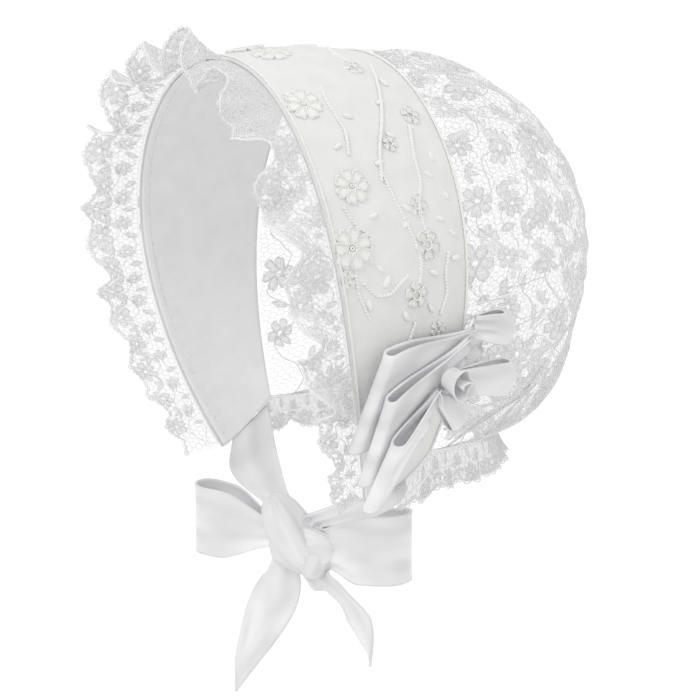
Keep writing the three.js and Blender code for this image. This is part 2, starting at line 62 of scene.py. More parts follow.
towards_camera = Vector((
    math.sin(CAMERA_TURN) * math.cos(CAMERA_RISE),
    -math.cos(CAMERA_TURN) * math.cos(CAMERA_RISE),
    math.sin(CAMERA_RISE),
))
camera = bpy.data.objects.new("camera", bpy.data.cameras.new("camera"))
camera.data.sensor_width = 36.0
camera.data.lens = CAMERA_LENS
camera.location = CAMERA_AIM + towards_camera * CAMERA_AWAY
camera.rotation_mode = "QUATERNION"
camera.rotation_quaternion = (-towards_camera).to_track_quat("-Z", "Y")
bpy.context.scene.collection.objects.link(camera)
bpy.context.scene.camera = camera
print("camera at", [round(value, 3) for value in camera.location])

# %% [markdown]
# Materials are made of nodes. One small function adds any node, sets its values and links it, so
# that each material below reads as a short list. Colours are written as sRGB hex values, the way
# that they look on a screen, and turned to the linear values that the shader needs. Two more
# functions do what several cloths need: a white that drifts between two tones, and a raised pattern.

# %% Colour and node helpers
TONE_STOPS = (0.32, 0.68)


def linear(hex_colour):
    """The linear RGBA of an sRGB colour such as "#F4F2EA"."""
    parts = [int(hex_colour[k:k + 2], 16) / 255 for k in (1, 3, 5)]
    return [c / 12.92 if c <= 0.04045 else ((c + 0.055) / 1.055) ** 2.4 for c in parts] + [1.0]


def add_node(tree, kind, inputs=None, **settings):
    """Adds a node. An input is a plain value, or (node, output) for a link."""
    node = tree.nodes.new(kind)
    for name, value in settings.items():
        setattr(node, name, value)
    for name, value in (inputs or {}).items():
        socket = node.inputs[name]
        if isinstance(value, tuple) and isinstance(value[0], bpy.types.Node):
            tree.links.new(value[0].outputs[value[1]], socket)
        else:
            socket.default_value = value
    return node


def new_material(name):
    """An empty material: its tree, its shader and the material itself."""
    material = bpy.data.materials.new(name)
    material.use_nodes = True
    tree = material.node_tree
    tree.nodes.clear()
    shader = add_node(tree, "ShaderNodeBsdfPrincipled")
    add_node(tree, "ShaderNodeOutputMaterial", {"Surface": (shader, "BSDF")})
    return tree, shader, material


def set_values(shader, values):
    """Sets plain values on a shader's own sockets."""
    for name, value in values.items():
        shader.inputs[name].default_value = value


def two_tones(tree, shader, noise, light, dark):
    """Lets a noise move the colour between two tones."""
    tone = add_node(tree, "ShaderNodeValToRGB", {"Fac": (noise, "Fac")})
    for stop, colour, position in zip(tone.color_ramp.elements, (dark, light), TONE_STOPS):
        stop.color = linear(colour)
        stop.position = position
    tree.links.new(tone.outputs["Color"], shader.inputs["Base Color"])


def raise_pattern(tree, shader, pattern, strength, height):
    """Lets a pattern, given as (node, output), raise the surface."""
    raised = add_node(tree, "ShaderNodeBump", {
        "Height": pattern, "Strength": strength, "Distance": height})
    tree.links.new(raised.outputs["Normal"], shader.inputs["Normal"])


# %% [markdown]
# The band and the lining are plain woven cotton: threads that go over and under each other. Two
# wave patterns, one along the cloth and one across it, stand for warp and weft. Real batiste has
# a thread every 0.3 mm, too fine for this picture, so it is drawn at 0.8 mm. A slow noise makes
# the white a little uneven, as washed cotton is.

# %% Woven cotton
WEAVE_PITCH = 0.8 * MM
WEAVE_HEIGHT = 0.15 * MM
WAVE_PERIOD = 0.314  # a wave texture of scale 1 repeats after this length
CLOTH_UNEVEN_SIZE = 9.0 * MM


def woven_cotton(name, light, dark, bump, roughness):
    tree, shader, material = new_material(name)
    place = add_node(tree, "ShaderNodeUVMap", uv_map="flat")
    warp, weft = (
        add_node(tree, "ShaderNodeTexWave", {
            "Vector": (place, "UV"), "Scale": WAVE_PERIOD / WEAVE_PITCH, "Distortion": 0.6,
            "Detail": 1.0}, bands_direction=direction)
        for direction in ("X", "Y"))
    weave = add_node(tree, "ShaderNodeMath", {0: (warp, "Fac"), 1: (weft, "Fac")},
                     operation="MULTIPLY")
    raise_pattern(tree, shader, (weave, "Value"), bump, WEAVE_HEIGHT)
    slow = add_node(tree, "ShaderNodeTexNoise", {
        "Vector": (place, "UV"), "Scale": 1 / CLOTH_UNEVEN_SIZE, "Detail": 3.0})
    two_tones(tree, shader, slow, light, dark)
    set_values(shader, {
        "Roughness": roughness, "IOR": 1.5, "Specular IOR Level": 0.25, "Sheen Weight": 0.15})
    return material


band_batiste = woven_cotton("white batiste, woven", "#F0F0EF", "#EAEAE9", 0.25, 0.7)
lining_cotton = woven_cotton("cotton lining, woven", "#F2F2F2", "#EEEEEE", 0.3, 0.85)
print("cottons", band_batiste.name, lining_cotton.name)

# %% [markdown]
# Satin ribbon is woven so that long shiny threads lie along its length. They give it a soft
# gleam that stretches across the ribbon, so the shader gets a low roughness and some anisotropy,
# and fine lines along the ribbon break up the gleam. A slow noise, stretched along the ribbon,
# paints whiter and greyer patches into the base colour: painted gleam and painted shade.

# %% Satin
SATIN_LINE_LENGTH, SATIN_LINE_WIDTH = 15.0 * MM, 0.9 * MM
SATIN_LINE_HEIGHT = 0.10 * MM
SATIN_LINE_BUMP = 0.05
SATIN_ROUGHNESS = (0.26, 0.38)
SATIN_TONE_LENGTH, SATIN_TONE_WIDTH = 26.0 * MM, 11.0 * MM


def ribbon_noise(tree, place, length, width, detail):
    """A noise that is stretched along the ribbon."""
    stretched = add_node(tree, "ShaderNodeMapping", {
        "Vector": (place, "UV"), "Scale": (1 / length, 1 / width, 1.0)})
    return add_node(tree, "ShaderNodeTexNoise", {
        "Vector": (stretched, "Vector"), "Scale": 1.0, "Detail": detail})


def satin_of(name, light, dark):
    tree, shader, material = new_material(name)
    place = add_node(tree, "ShaderNodeUVMap", uv_map="flat")
    lines = ribbon_noise(tree, place, SATIN_LINE_LENGTH, SATIN_LINE_WIDTH, 4.0)
    raise_pattern(tree, shader, (lines, "Fac"), SATIN_LINE_BUMP, SATIN_LINE_HEIGHT)
    shade = add_node(tree, "ShaderNodeMapRange", {
        "Value": (lines, "Fac"), "To Min": SATIN_ROUGHNESS[0], "To Max": SATIN_ROUGHNESS[1]})
    tree.links.new(shade.outputs["Result"], shader.inputs["Roughness"])
    # Painted gleam and shade: a slow noise moves the base colour between white and grey.
    painted_gleam = ribbon_noise(tree, place, SATIN_TONE_LENGTH, SATIN_TONE_WIDTH, 1.0)
    two_tones(tree, shader, painted_gleam, light, dark)
    set_values(shader, {
        "IOR": 1.5, "Specular IOR Level": 0.7, "Anisotropic": 0.4, "Sheen Weight": 0.15})
    return material


# The two tones are painted gleam (white) and painted shade (grey) on the satin.
white_satin = satin_of("polyester satin, white", "#F7F7F8", "#DFDFE0")
print("satin", white_satin.name)

# %% [markdown]
# Lace has three parts to the eye: a ground so fine that it reads as a white haze, petals that are
# filled with close thread, and the thick thread round each petal. Ground and filling are thin sheets
# that let a set share of the light through. The thick threads are solid, matt cotton.

# %% Lace and thread
THREAD_PITCH = 0.7 * MM
LACE_THREAD_HEIGHT, EMBROIDERY_THREAD_HEIGHT = 0.25 * MM, 0.5 * MM


def lace_ground(name, colour, cover):
    shader, material = new_material(name)[1:]
    set_values(shader, {
        "Base Color": linear(colour), "Roughness": 0.9, "Specular IOR Level": 0.1, "Alpha": cover})
    return material


def cotton_thread(name, colour, bump, height):
    tree, shader, material = new_material(name)
    place = add_node(tree, "ShaderNodeTexCoord")
    fibres = add_node(tree, "ShaderNodeTexNoise", {
        "Vector": (place, "Object"), "Scale": 1 / THREAD_PITCH, "Detail": 3.0})
    raise_pattern(tree, shader, (fibres, "Fac"), bump, height)
    set_values(shader, {
        "Base Color": linear(colour), "Roughness": 0.8, "Specular IOR Level": 0.2,
        "Sheen Weight": 0.05})
    return material


crown_ground = lace_ground("cotton net ground, fine", "#F6F6F7", 0.08)
edging_ground = lace_ground("cotton net ground, close", "#F4F4F5", 0.19)
frill_ground = lace_ground("cotton net ground, doubled", "#ECECED", 0.40)
petal_filling = lace_ground("cotton lace filling", "#F6F6F7", 0.38)
lace_cotton = cotton_thread("cotton lace thread", "#F8F8F9", 0.3, LACE_THREAD_HEIGHT)
embroidery_cotton = cotton_thread(
    "mercerised embroidery cotton", "#F9F9F6", 0.8, EMBROIDERY_THREAD_HEIGHT)
print("laces", crown_ground.name, lace_cotton.name)

# %% [markdown]
# The light is a plain studio: an even pale surround and one weak, soft lamp above the camera and
# to its left. A white floor lies well below, because a head would hold the hat up in the air. It is
# only a backdrop, so it sends no light back up to the hat.

# %% Light and floor
FLOOR_Z, FLOOR_HALF, FLOOR_GLOW = -0.42, 9.0, 0.25
KEY_SIZE = 0.34
KEY_WATTS = 2.6
KEY_AWAY = 1.3
KEY_TOWARDS_CAMERA, KEY_LEFT, KEY_UP = 0.6, 0.45, 0.75
SURROUND = 0.86
LACE_LAYERS = 48  # how many see-through faces a ray may pass
WHITE = (1.0, 1.0, 1.0, 1.0)

scene = bpy.context.scene
scene.view_settings.view_transform = "Standard"
scene.cycles.transparent_max_bounces = LACE_LAYERS
world = bpy.data.worlds.new("studio")
world.use_nodes = True
set_values(world.node_tree.nodes["Background"], {"Color": WHITE, "Strength": SURROUND})
scene.world = world

camera_right = Vector((math.cos(CAMERA_TURN), math.sin(CAMERA_TURN), 0.0))
key_from = (towards_camera * KEY_TOWARDS_CAMERA - camera_right * KEY_LEFT
            + Vector((0, 0, KEY_UP))).normalized()
key = bpy.data.objects.new("key_lamp", bpy.data.lights.new("key_lamp", "AREA"))
key.data.size = KEY_SIZE
key.data.energy = KEY_WATTS
key.location = CAMERA_AIM + key_from * KEY_AWAY
key.rotation_mode = "QUATERNION"
key.rotation_quaternion = (-key_from).to_track_quat("-Z", "Y")
scene.collection.objects.link(key)

floor_shader, floor_paper = new_material("white paper sweep")[1:]
set_values(floor_shader, {
    "Base Color": linear("#FAFAFA"), "Roughness": 0.9, "Emission Color": WHITE,
    "Emission Strength": FLOOR_GLOW})
floor_mesh = bpy.data.meshes.new("floor")
floor_mesh.from_pydata(
    [(x * FLOOR_HALF, y * FLOOR_HALF, FLOOR_Z) for x, y in ((-1, -1), (1, -1), (1, 1), (-1, 1))],
    [], [(0, 1, 2, 3)])
floor_mesh.materials.append(floor_paper)
floor = bpy.data.objects.new("floor", floor_mesh)
floor.visible_diffuse = False
scene.collection.objects.link(floor)
print("floor at", FLOOR_Z)

# %% [markdown]
# Every piece ends as a plain mesh with its place in the mesh, so one function makes them all. It
# merges places that meet, as at a pole, turns the faces outward and lays the flat pattern of the
# cloth into the mesh as a UV map, in metres, so that weave and satin lines follow the cloth.


def make_piece(name, places, faces, material, slot, stands_for=(), flat=None):
    """A mesh object from places in millimetres. flat gives each place's spot on the flat cloth."""
    mesh = bpy.data.meshes.new(name)
    mesh.from_pydata((np.asarray(places) * MM).tolist(), [], [list(face) for face in faces])
    if flat is not None:
        corners = np.empty(len(mesh.loops), dtype=np.int32)
        mesh.loops.foreach_get("vertex_index", corners)
        layer = mesh.uv_layers.new(name="flat")
        layer.data.foreach_set("uv", (np.asarray(flat)[corners] * MM).ravel())
    shape = bmesh.new()
    shape.from_mesh(mesh)
    bmesh.ops.remove_doubles(shape, verts=shape.verts, dist=1e-7)
    bmesh.ops.recalc_face_normals(shape, faces=shape.faces)
    shape.to_mesh(mesh)
    shape.free()
    mesh.polygons.foreach_set("use_smooth", [True] * len(mesh.polygons))
    mesh.materials.append(material)
    piece = bpy.data.objects.new(name, mesh)
    scene.collection.objects.link(piece)
    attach(piece, "root")
    if stands_for:
        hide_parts(*stands_for)
    print(name, len(mesh.vertices), "places", len(mesh.polygons), "faces")
    return piece


def grid_faces(columns, rows, start=0, closed=False):
    """Quads over a grid that is stored column by column. columns counts lines of places."""
    last = columns if closed else columns - 1
    i, j = np.meshgrid(np.arange(last), np.arange(rows - 1), indexing="ij")
    after = (i + 1) % columns
    quads = np.stack([i * rows + j, after * rows + j, after * rows + j + 1, i * rows + j + 1], -1)
    return (quads.reshape(-1, 4) + start).tolist()


def tube_faces(rings, sides, closed=False):
    """Quads of a tube whose rings of places follow each other. A closed tube joins its two ends."""
    faces = []
    for i in range(rings if closed else rings - 1):
        after = (i + 1) % rings
        for j in range(sides):
            up = (j + 1) % sides
            faces.append([i * sides + j, after * sides + j, after * sides + up, i * sides + up])
    return faces


def thin_wall(outer, inner, closed=False):
    """Places and faces of the closed wall between two grids of places of the same size."""
    columns, rows = outer.shape[:2]
    places = np.concatenate([outer.reshape(-1, 3), inner.reshape(-1, 3)])
    shift = columns * rows
    faces = grid_faces(columns, rows, 0, closed)
    faces += [face[::-1] for face in grid_faces(columns, rows, shift, closed)]
    rims = [[i * rows for i in range(columns)], [i * rows + rows - 1 for i in range(columns)]]
    if closed:
        rims = [rim + rim[:1] for rim in rims]
    else:
        rims += [list(range(rows)), list(range((columns - 1) * rows, columns * rows))]
    for rim in rims:
        faces += [[a, b, b + shift, a + shift] for a, b in zip(rim[:-1], rim[1:])]
    return places, faces


def without_shrunk(places, faces):
    """Leaves out the faces that have shrunk to a line, as at a pole."""
    return [face for face in faces if len({tuple(places[c].round(5)) for c in face}) > 2]


def area_of(places, faces):
    """Area of a mesh of quads, in square metres."""
    corners = np.asarray(places)[np.asarray(faces)] * MM
    across = np.cross(corners[:, 2] - corners[:, 0], corners[:, 3] - corners[:, 1])
    return 0.5 * np.linalg.norm(across, axis=1).sum()


# %% [markdown]
# The cloth follows the same rules as the solids: two arches, one at the face and one at the back
# seam, with the band stretched between them. Written for whole arrays, these rules give any place
# on the cloth at once, and the direction that it faces comes from two small steps along it.

# %% The band's rule
CLOTH = 1.0
GAP = 0.4
LINING_STACK = CLOTH + GAP
FRONT_ARCH = {"top": 3.0, "half": 60.0, "shoulder": 75.0, "side": 72.0, "corner": 43.0}
SEAM_ARCH = {"top": LINING_STACK, "half": 62.0, "shoulder": 74.0, "side": 57.0, "corner": 47.0}
SHOULDER_SHARE = 0.56
FRONT_TOP_Y, FRONT_SLOPE, FRONT_SLOPE_POWER = -57.0, 27.0, 2.3
SEAM_SLOPE = -6.0
BAND_BULGE = 2.2
MIDDLE_Z = SEAM_ARCH["top"] - SEAM_ARCH["shoulder"]
EDGE = 0.002  # how near to an edge of the band its facing is taken


def mix(first, second, share):
    return first + (second - first) * share


def ease(share):
    share = np.clip(share, 0.0, 1.0)
    return share * share * (3 - 2 * share)


def unit(vectors):
    return vectors / np.linalg.norm(vectors, axis=-1, keepdims=True)


def arch_place(arch, share):
    """x and z on one arch, from 0 at the top to 1 at the lower corner."""
    turn = share / SHOULDER_SHARE * math.pi / 2
    down = (share - SHOULDER_SHARE) / (1 - SHOULDER_SHARE)
    on_top = share <= SHOULDER_SHARE
    x = np.where(on_top, arch["half"] * np.sin(turn), mix(arch["half"], arch["corner"], down ** 2))
    z = arch["top"] - np.where(on_top, arch["shoulder"] * (1 - np.cos(turn)),
                               arch["shoulder"] + arch["side"] * down)
    return x, z


def band_place(along, back):
    """Along runs from -1, the right corner, over the top to 1. Back runs from face to seam."""
    along, back = np.broadcast_arrays(np.asarray(along, float), np.asarray(back, float))
    share = np.abs(along)
    front_x, front_z = arch_place(FRONT_ARCH, share)
    seam_x, seam_z = arch_place(SEAM_ARCH, share)
    front_drop = (FRONT_ARCH["top"] - front_z) / (FRONT_ARCH["shoulder"] + FRONT_ARCH["side"])
    seam_drop = (SEAM_ARCH["top"] - seam_z) / (SEAM_ARCH["shoulder"] + SEAM_ARCH["side"])
    front_y = FRONT_TOP_Y + FRONT_SLOPE * np.maximum(front_drop, 0) ** FRONT_SLOPE_POWER
    seam_y = SEAM_SLOPE * seam_drop ** 2
    swell = 1 + BAND_BULGE / SEAM_ARCH["half"] * np.sin(math.pi * back)
    side = np.where(along < 0, -1.0, 1.0)
    return np.stack([
        side * mix(front_x, seam_x, back) * swell,
        mix(front_y, seam_y, back),
        MIDDLE_Z + (mix(front_z, seam_z, back) - MIDDLE_Z) * swell,
    ], axis=-1)


def facing(place_of, first, second, outward):
    """The direction that a surface faces, turned to the side that outward is on."""
    step = 1e-3
    across_first = place_of(first + step, second) - place_of(first - step, second)
    across_second = place_of(first, second + step) - place_of(first, second - step)
    direction = unit(np.cross(across_first, across_second))
    flip = np.where((direction * outward).sum(-1, keepdims=True) < 0, -1.0, 1.0)
    return direction * flip


def band_facing(along, back):
    place = band_place(along, back)
    outward = place * [1, 0, 1] - [0, 0, MIDDLE_Z]
    return facing(band_place, np.asarray(along, float), np.asarray(back, float), outward)


print("band corner", band_place(1.0, 1.0).round(1))

# %% [markdown]
# To draw on a cloth, its flat pattern is needed: how far along the band, in millimetres, a place
# is. Tables of running length give that, and the same tables bring a drawing back onto the hat.

# %% The band's flat pattern
BAND_STEPS = np.linspace(-1.0, 1.0, 801)


def running_length(places):
    return np.concatenate([[0.0], np.cumsum(np.linalg.norm(np.diff(places, axis=0), axis=1))])


band_run = running_length(band_place(BAND_STEPS, 0.5))
band_run = band_run - band_run[len(band_run) // 2]
BAND_LENGTH = band_run[-1] - band_run[0]
band_width = np.linalg.norm(band_place(BAND_STEPS, 1.0) - band_place(BAND_STEPS, 0.0), axis=1)


def on_band(flat, lift):
    """Brings flat places (along, from the middle line, height) onto the band, lift above it."""
    along = np.interp(flat[:, 0], band_run, BAND_STEPS)
    back = np.clip(0.5 + flat[:, 1] / np.interp(along, BAND_STEPS, band_width), 2 * EDGE, 1 - 2 * EDGE)
    return band_place(along, back) + band_facing(along, back) * (lift + flat[:, 2:3])


print("band is", round(BAND_LENGTH), "mm long and", round(band_width.max()), "mm wide")

# %% [markdown]
# The band is one smooth sheet. It is made as a fine grid with a front and a back, and a few soft
# waves under the millimetre keep it from looking like plastic. The lining lies under it, with a
# narrow welt along the face and small puckers where the stitches pull it in.

# %% Band and lining
BAND_COLUMNS, BAND_ROWS = 181, 31
BAND_BACK, BAND_FRONT = 0.1, CLOTH - 0.25
SLACK_DEPTH, SLACK_PITCH, SLACK_BEND = 0.22, 11.0, 17.0
LINING_COLUMNS, WELT_ROWS, LINING_ROWS = 361, 10, 26
LINING_BACK, LINING_FRONT = GAP + 0.1, LINING_STACK - 0.45
WELT_SHARE = 0.06  # the part of the lining's width that gets the closer rows
WELT_WIDTH = 2.6
WELT_HEIGHT = 0.45
WELT_EDGE = 0.5
PUCKER_PITCH = 5.5
PUCKER_DEPTH = 0.32
PUCKER_FADE = 6.0


def sheet_grid(alongs, backs):
    along, back = np.meshgrid(alongs, backs, indexing="ij")
    width = np.interp(along, BAND_STEPS, band_width)
    flat = np.stack([np.interp(along, BAND_STEPS, band_run), (back - 0.5) * width], -1)
    return along, back, flat


along, back, flat = sheet_grid(np.linspace(-1, 1, BAND_COLUMNS), np.linspace(0, 1, BAND_ROWS))
band_out = band_facing(along, np.clip(back, EDGE, 1 - EDGE))
band_middle = band_place(along, back)
bend = 1.3 * np.sin(flat[..., 1] / SLACK_BEND)
slack = SLACK_DEPTH * np.sin(flat[..., 0] / SLACK_PITCH + bend) * np.sin(math.pi * back)
outer = band_middle + band_out * (BAND_FRONT + slack)[..., None]
inner = band_middle + band_out * BAND_BACK
places, faces = thin_wall(outer, inner)
band_cloth = make_piece("band_cloth", places, faces, band_batiste, "batiste", ["band"],
                        np.tile(flat.reshape(-1, 2), (2, 1)))

lining_backs = np.concatenate([
    np.linspace(0, WELT_SHARE, WELT_ROWS)[:-1], np.linspace(WELT_SHARE, 1, LINING_ROWS)])
along, back, flat = sheet_grid(np.linspace(-1, 1, LINING_COLUMNS), lining_backs)
from_edge = back * np.interp(along, BAND_STEPS, band_width)
from_welt = from_edge - WELT_WIDTH
welt = ease(from_edge / WELT_EDGE) * ease(0.5 - from_welt / WELT_EDGE)
pull = np.exp(-np.maximum(from_welt, 0) / PUCKER_FADE) * ease(from_welt / 2)
wave = np.sin(2 * math.pi * flat[..., 0] / PUCKER_PITCH + 1.7 * np.sin(flat[..., 0] / 23))
pucker = PUCKER_DEPTH * pull * (0.6 + 0.4 * np.sin(flat[..., 0] / 31)) * wave
lining_out = band_facing(along, np.clip(back, EDGE, 1 - EDGE))
lining_middle = band_place(along, back)
outer = lining_middle - lining_out * LINING_BACK
inner = lining_middle - lining_out * (LINING_FRONT + WELT_HEIGHT * welt + pucker)[..., None]
places, faces = thin_wall(outer, inner)
lining_cloth = make_piece("lining_cloth", places, faces, lining_cotton, "cotton", ["lining"],
                          np.tile(flat.reshape(-1, 2), (2, 1)))

# %% [markdown]
# Small things that repeat are left to Geometry Nodes. Three trees do all of them. The first puts
# one motif on every point of a flat drawing, turned and sized by the point's own values. The
# second runs a thread along a line and sets a small motif on it at an even spacing, which makes
# knotted stems, picot edges and rows of stitches. The third makes a thread of every line of a net.

# %% Geometry Nodes helpers
def new_tree(name, sockets):
    """A geometry tree with a geometry input and output and the named inputs."""
    tree = bpy.data.node_groups.new(name, "GeometryNodeTree")
    tree.interface.new_socket("Drawing", in_out="INPUT", socket_type="NodeSocketGeometry")
    for label, kind in sockets.items():
        tree.interface.new_socket(label, in_out="INPUT", socket_type=kind)
    tree.interface.new_socket("Result", in_out="OUTPUT", socket_type="NodeSocketGeometry")
    return tree, add_node(tree, "NodeGroupInput")


def close_tree(tree, start, result):
    """Ends a tree in Realize Instances and Set Material."""
    real = add_node(tree, "GeometryNodeRealizeInstances", {"Geometry": result})
    dressed = add_node(tree, "GeometryNodeSetMaterial", {
        "Geometry": (real, "Geometry"), "Material": (start, "Material")})
    add_node(tree, "NodeGroupOutput", {"Result": (dressed, "Geometry")})
    return tree


def run_tree(tree, places, lines, values, point_values=None):
    """Runs a tree on a drawing of points and lines. Gives the places and faces that it makes."""
    mesh = bpy.data.meshes.new("drawing")
    mesh.from_pydata(np.asarray(places).tolist(), np.asarray(lines, int).tolist(), [])
    for label, numbers in (point_values or {}).items():
        layer = mesh.attributes.new(label, "FLOAT", "POINT")
        layer.data.foreach_set("value", np.asarray(numbers, np.float32))
    holder = bpy.data.objects.new("drawing", mesh)
    scene.collection.objects.link(holder)
    step = holder.modifiers.new("lace", "NODES")
    step.node_group = tree
    for item in tree.interface.items_tree:
        if item.in_out == "INPUT" and item.name in values:
            step[item.identifier] = values[item.name]
    ready = bpy.context.evaluated_depsgraph_get()
    made = bpy.data.meshes.new_from_object(holder.evaluated_get(ready), depsgraph=ready)
    holder.modifiers.clear()
    found = np.empty(len(made.vertices) * 3, np.float32)
    made.vertices.foreach_get("co", found)
    corners = np.empty(len(made.loops), np.int32)
    made.loops.foreach_get("vertex_index", corners)
    counts = np.empty(len(made.polygons), np.int32)
    made.polygons.foreach_get("loop_total", counts)
    faces = [part.tolist() for part in np.split(corners, np.cumsum(counts)[:-1])]
    bpy.data.objects.remove(holder)
    bpy.data.meshes.remove(mesh)
    bpy.data.meshes.remove(made)
    return found.reshape(-1, 3).astype(float), faces


def joined(parts):
    """Several (places, faces) as one."""
    places, faces, start = [], [], 0
    for some, sides in parts:
        places.append(some)
        faces += [[corner + start for corner in side] for side in sides]
        start += len(some)
    return np.concatenate(places), faces


# %% [markdown]
# Each tree takes a flat drawing and named inputs, and ends in plain geometry that has its material.

# %% The three trees
motif_tree, start = new_tree("motifs_on_points", {
    "Motif": "NodeSocketObject", "Material": "NodeSocketMaterial"})
turn = add_node(motif_tree, "GeometryNodeInputNamedAttribute", {"Name": "turn"})
size = add_node(motif_tree, "GeometryNodeInputNamedAttribute", {"Name": "size"})
spin = add_node(motif_tree, "ShaderNodeCombineXYZ", {"Z": (turn, "Attribute")})
spun = add_node(motif_tree, "FunctionNodeEulerToRotation", {"Euler": (spin, "Vector")})
motif = add_node(motif_tree, "GeometryNodeObjectInfo", {"Object": (start, "Motif")})
sown = add_node(motif_tree, "GeometryNodeInstanceOnPoints", {
    "Points": (start, "Drawing"), "Instance": (motif, "Geometry"),
    "Rotation": (spun, "Rotation"), "Scale": (size, "Attribute")})
close_tree(motif_tree, start, (sown, "Instances"))

line_tree, start = new_tree("motifs_along_lines", {
    "Thread Radius": "NodeSocketFloat", "Spacing": "NodeSocketFloat",
    "Motif": "NodeSocketObject", "Material": "NodeSocketMaterial"})
line = add_node(line_tree, "GeometryNodeMeshToCurve", {"Mesh": (start, "Drawing")})
ring = add_node(line_tree, "GeometryNodeCurvePrimitiveCircle", {
    "Resolution": 5, "Radius": (start, "Thread Radius")})
tube = add_node(line_tree, "GeometryNodeCurveToMesh", {
    "Curve": (line, "Curve"), "Profile Curve": (ring, "Curve"), "Fill Caps": True})
spots = add_node(line_tree, "GeometryNodeCurveToPoints", {
    "Curve": (line, "Curve"), "Length": (start, "Spacing")}, mode="LENGTH")
aimed = add_node(line_tree, "FunctionNodeAlignRotationToVector", {
    "Vector": (spots, "Tangent")}, axis="X", pivot_axis="Z")
motif = add_node(line_tree, "GeometryNodeObjectInfo", {"Object": (start, "Motif")})
strung = add_node(line_tree, "GeometryNodeInstanceOnPoints", {
    "Points": (spots, "Points"), "Instance": (motif, "Geometry"), "Rotation": (aimed, "Rotation")})
both = add_node(line_tree, "GeometryNodeJoinGeometry", {"Geometry": (strung, "Instances")})
line_tree.links.new(tube.outputs["Mesh"], both.inputs["Geometry"])
close_tree(line_tree, start, (both, "Geometry"))

net_tree, start = new_tree("net_of_threads", {
    "Thread Radius": "NodeSocketFloat", "Material": "NodeSocketMaterial"})
line = add_node(net_tree, "GeometryNodeMeshToCurve", {"Mesh": (start, "Drawing")})
ring = add_node(net_tree, "GeometryNodeCurvePrimitiveCircle", {
    "Resolution": 3, "Radius": (start, "Thread Radius")})
tube = add_node(net_tree, "GeometryNodeCurveToMesh", {
    "Curve": (line, "Curve"), "Profile Curve": (ring, "Curve"), "Fill Caps": True})
close_tree(net_tree, start, (tube, "Mesh"))
print("trees", [tree.name for tree in bpy.data.node_groups])

# %% [markdown]
# The motifs are drawn flat, in millimetres, from outlines of petals and leaves. For the lace each
# outline gives a thin filling and a thick thread that runs round it. For the embroidery rings of the
# outline at several heights raise a rim round a flatter middle.

# %% Petals, leaves and knots
def relief(outline, rings):
    """A closed low relief: rings of (size, height) from the foot up, then a flat top."""
    outline = np.asarray(outline)
    count, middle = len(outline), outline.mean(0)
    levels = [np.c_[middle + (outline - middle) * size, np.full(count, height)]
              for size, height in rings]
    tips = [[*middle, rings[-1][1]], [*middle, rings[0][1]]]
    places = np.vstack(levels + [tips])
    top, foot = count * len(rings), count * len(rings) + 1
    faces = []
    for k in range(count):
        after = (k + 1) % count
        for level in range(len(rings) - 1):
            low, high = level * count, (level + 1) * count
            faces.append([low + k, low + after, high + after, high + k])
        last = (len(rings) - 1) * count
        faces.append([last + k, last + after, top])
        faces.append([after, k, foot])
    return places, faces


def petal(inner, tip, half_width, angle, notch=0.0, corners=14):
    """The outline of a rounded petal that points away from the middle of its flower."""
    turn = np.linspace(0, 2 * math.pi, corners, endpoint=False)
    run = 0.5 - 0.5 * np.cos(turn)
    wide = half_width * np.sin(turn) * (0.55 + 0.6 * run)
    reach = mix(inner, tip, run) - notch * np.exp(-(wide / (0.3 * half_width)) ** 2) * (run > 0.7)
    return np.c_[reach * math.cos(angle) - wide * math.sin(angle),
                 reach * math.sin(angle) + wide * math.cos(angle)]


def leaf(length, half_width, angle=0.0, start=0.0, corners=12):
    """The outline of a pointed leaf."""
    turn = np.linspace(0, 2 * math.pi, corners, endpoint=False)
    run = 0.5 - 0.5 * np.cos(turn)
    wide = half_width * np.sin(turn) * np.abs(np.sin(turn)) ** 0.3
    reach = start + length * run
    return np.c_[reach * math.cos(angle) - wide * math.sin(angle),
                 reach * math.sin(angle) + wide * math.cos(angle)]


def circle(radius, corners=12):
    turn = np.linspace(0, 2 * math.pi, corners, endpoint=False)
    return radius * np.c_[np.cos(turn), np.sin(turn)]


def thread_round(outline, thread, height=0.0, sides=4):
    """A thread that runs round an outline and lies flat."""
    run = unit(np.roll(outline, -1, 0) - np.roll(outline, 1, 0))
    out = np.c_[run[:, 1], -run[:, 0]]
    turn = np.linspace(0, 2 * math.pi, sides, endpoint=False)
    flat = outline[:, None] + out[:, None] * (thread * np.cos(turn))[None, :, None]
    high = np.broadcast_to(height + thread * np.sin(turn), flat.shape[:2])
    places = np.concatenate([flat, high[..., None]], -1).reshape(-1, 3)
    return places, tube_faces(len(outline), sides, closed=True)


def motif_object(name, parts):
    """Keeps a motif as an object that only the trees look at."""
    places, faces = joined(parts)
    mesh = bpy.data.meshes.new(name)
    mesh.from_pydata(places.tolist(), [], faces)
    return bpy.data.objects.new(name, mesh)


FILLING_RINGS = [(1.0, -0.1), (1.0, 0.1)]
RAISED_RINGS = [(1.0, -0.2), (1.02, 0.55), (0.86, 0.95), (0.66, 0.30), (0.30, 0.36)]
SOLID_RINGS = [(1.0, -0.2), (0.98, 0.35), (0.75, 0.70), (0.35, 0.85)]
OUTLINE_THREAD = 0.24
PETAL_START = 1.3
EYE_RADIUS, EYE_THREAD, EYE_HEIGHT = 1.5, 0.38, 0.3


def petals(count, tip, half_width, notch, corners=14):
    return [petal(PETAL_START, tip, half_width, 2 * math.pi * k / count, notch, corners)
            for k in range(count)]


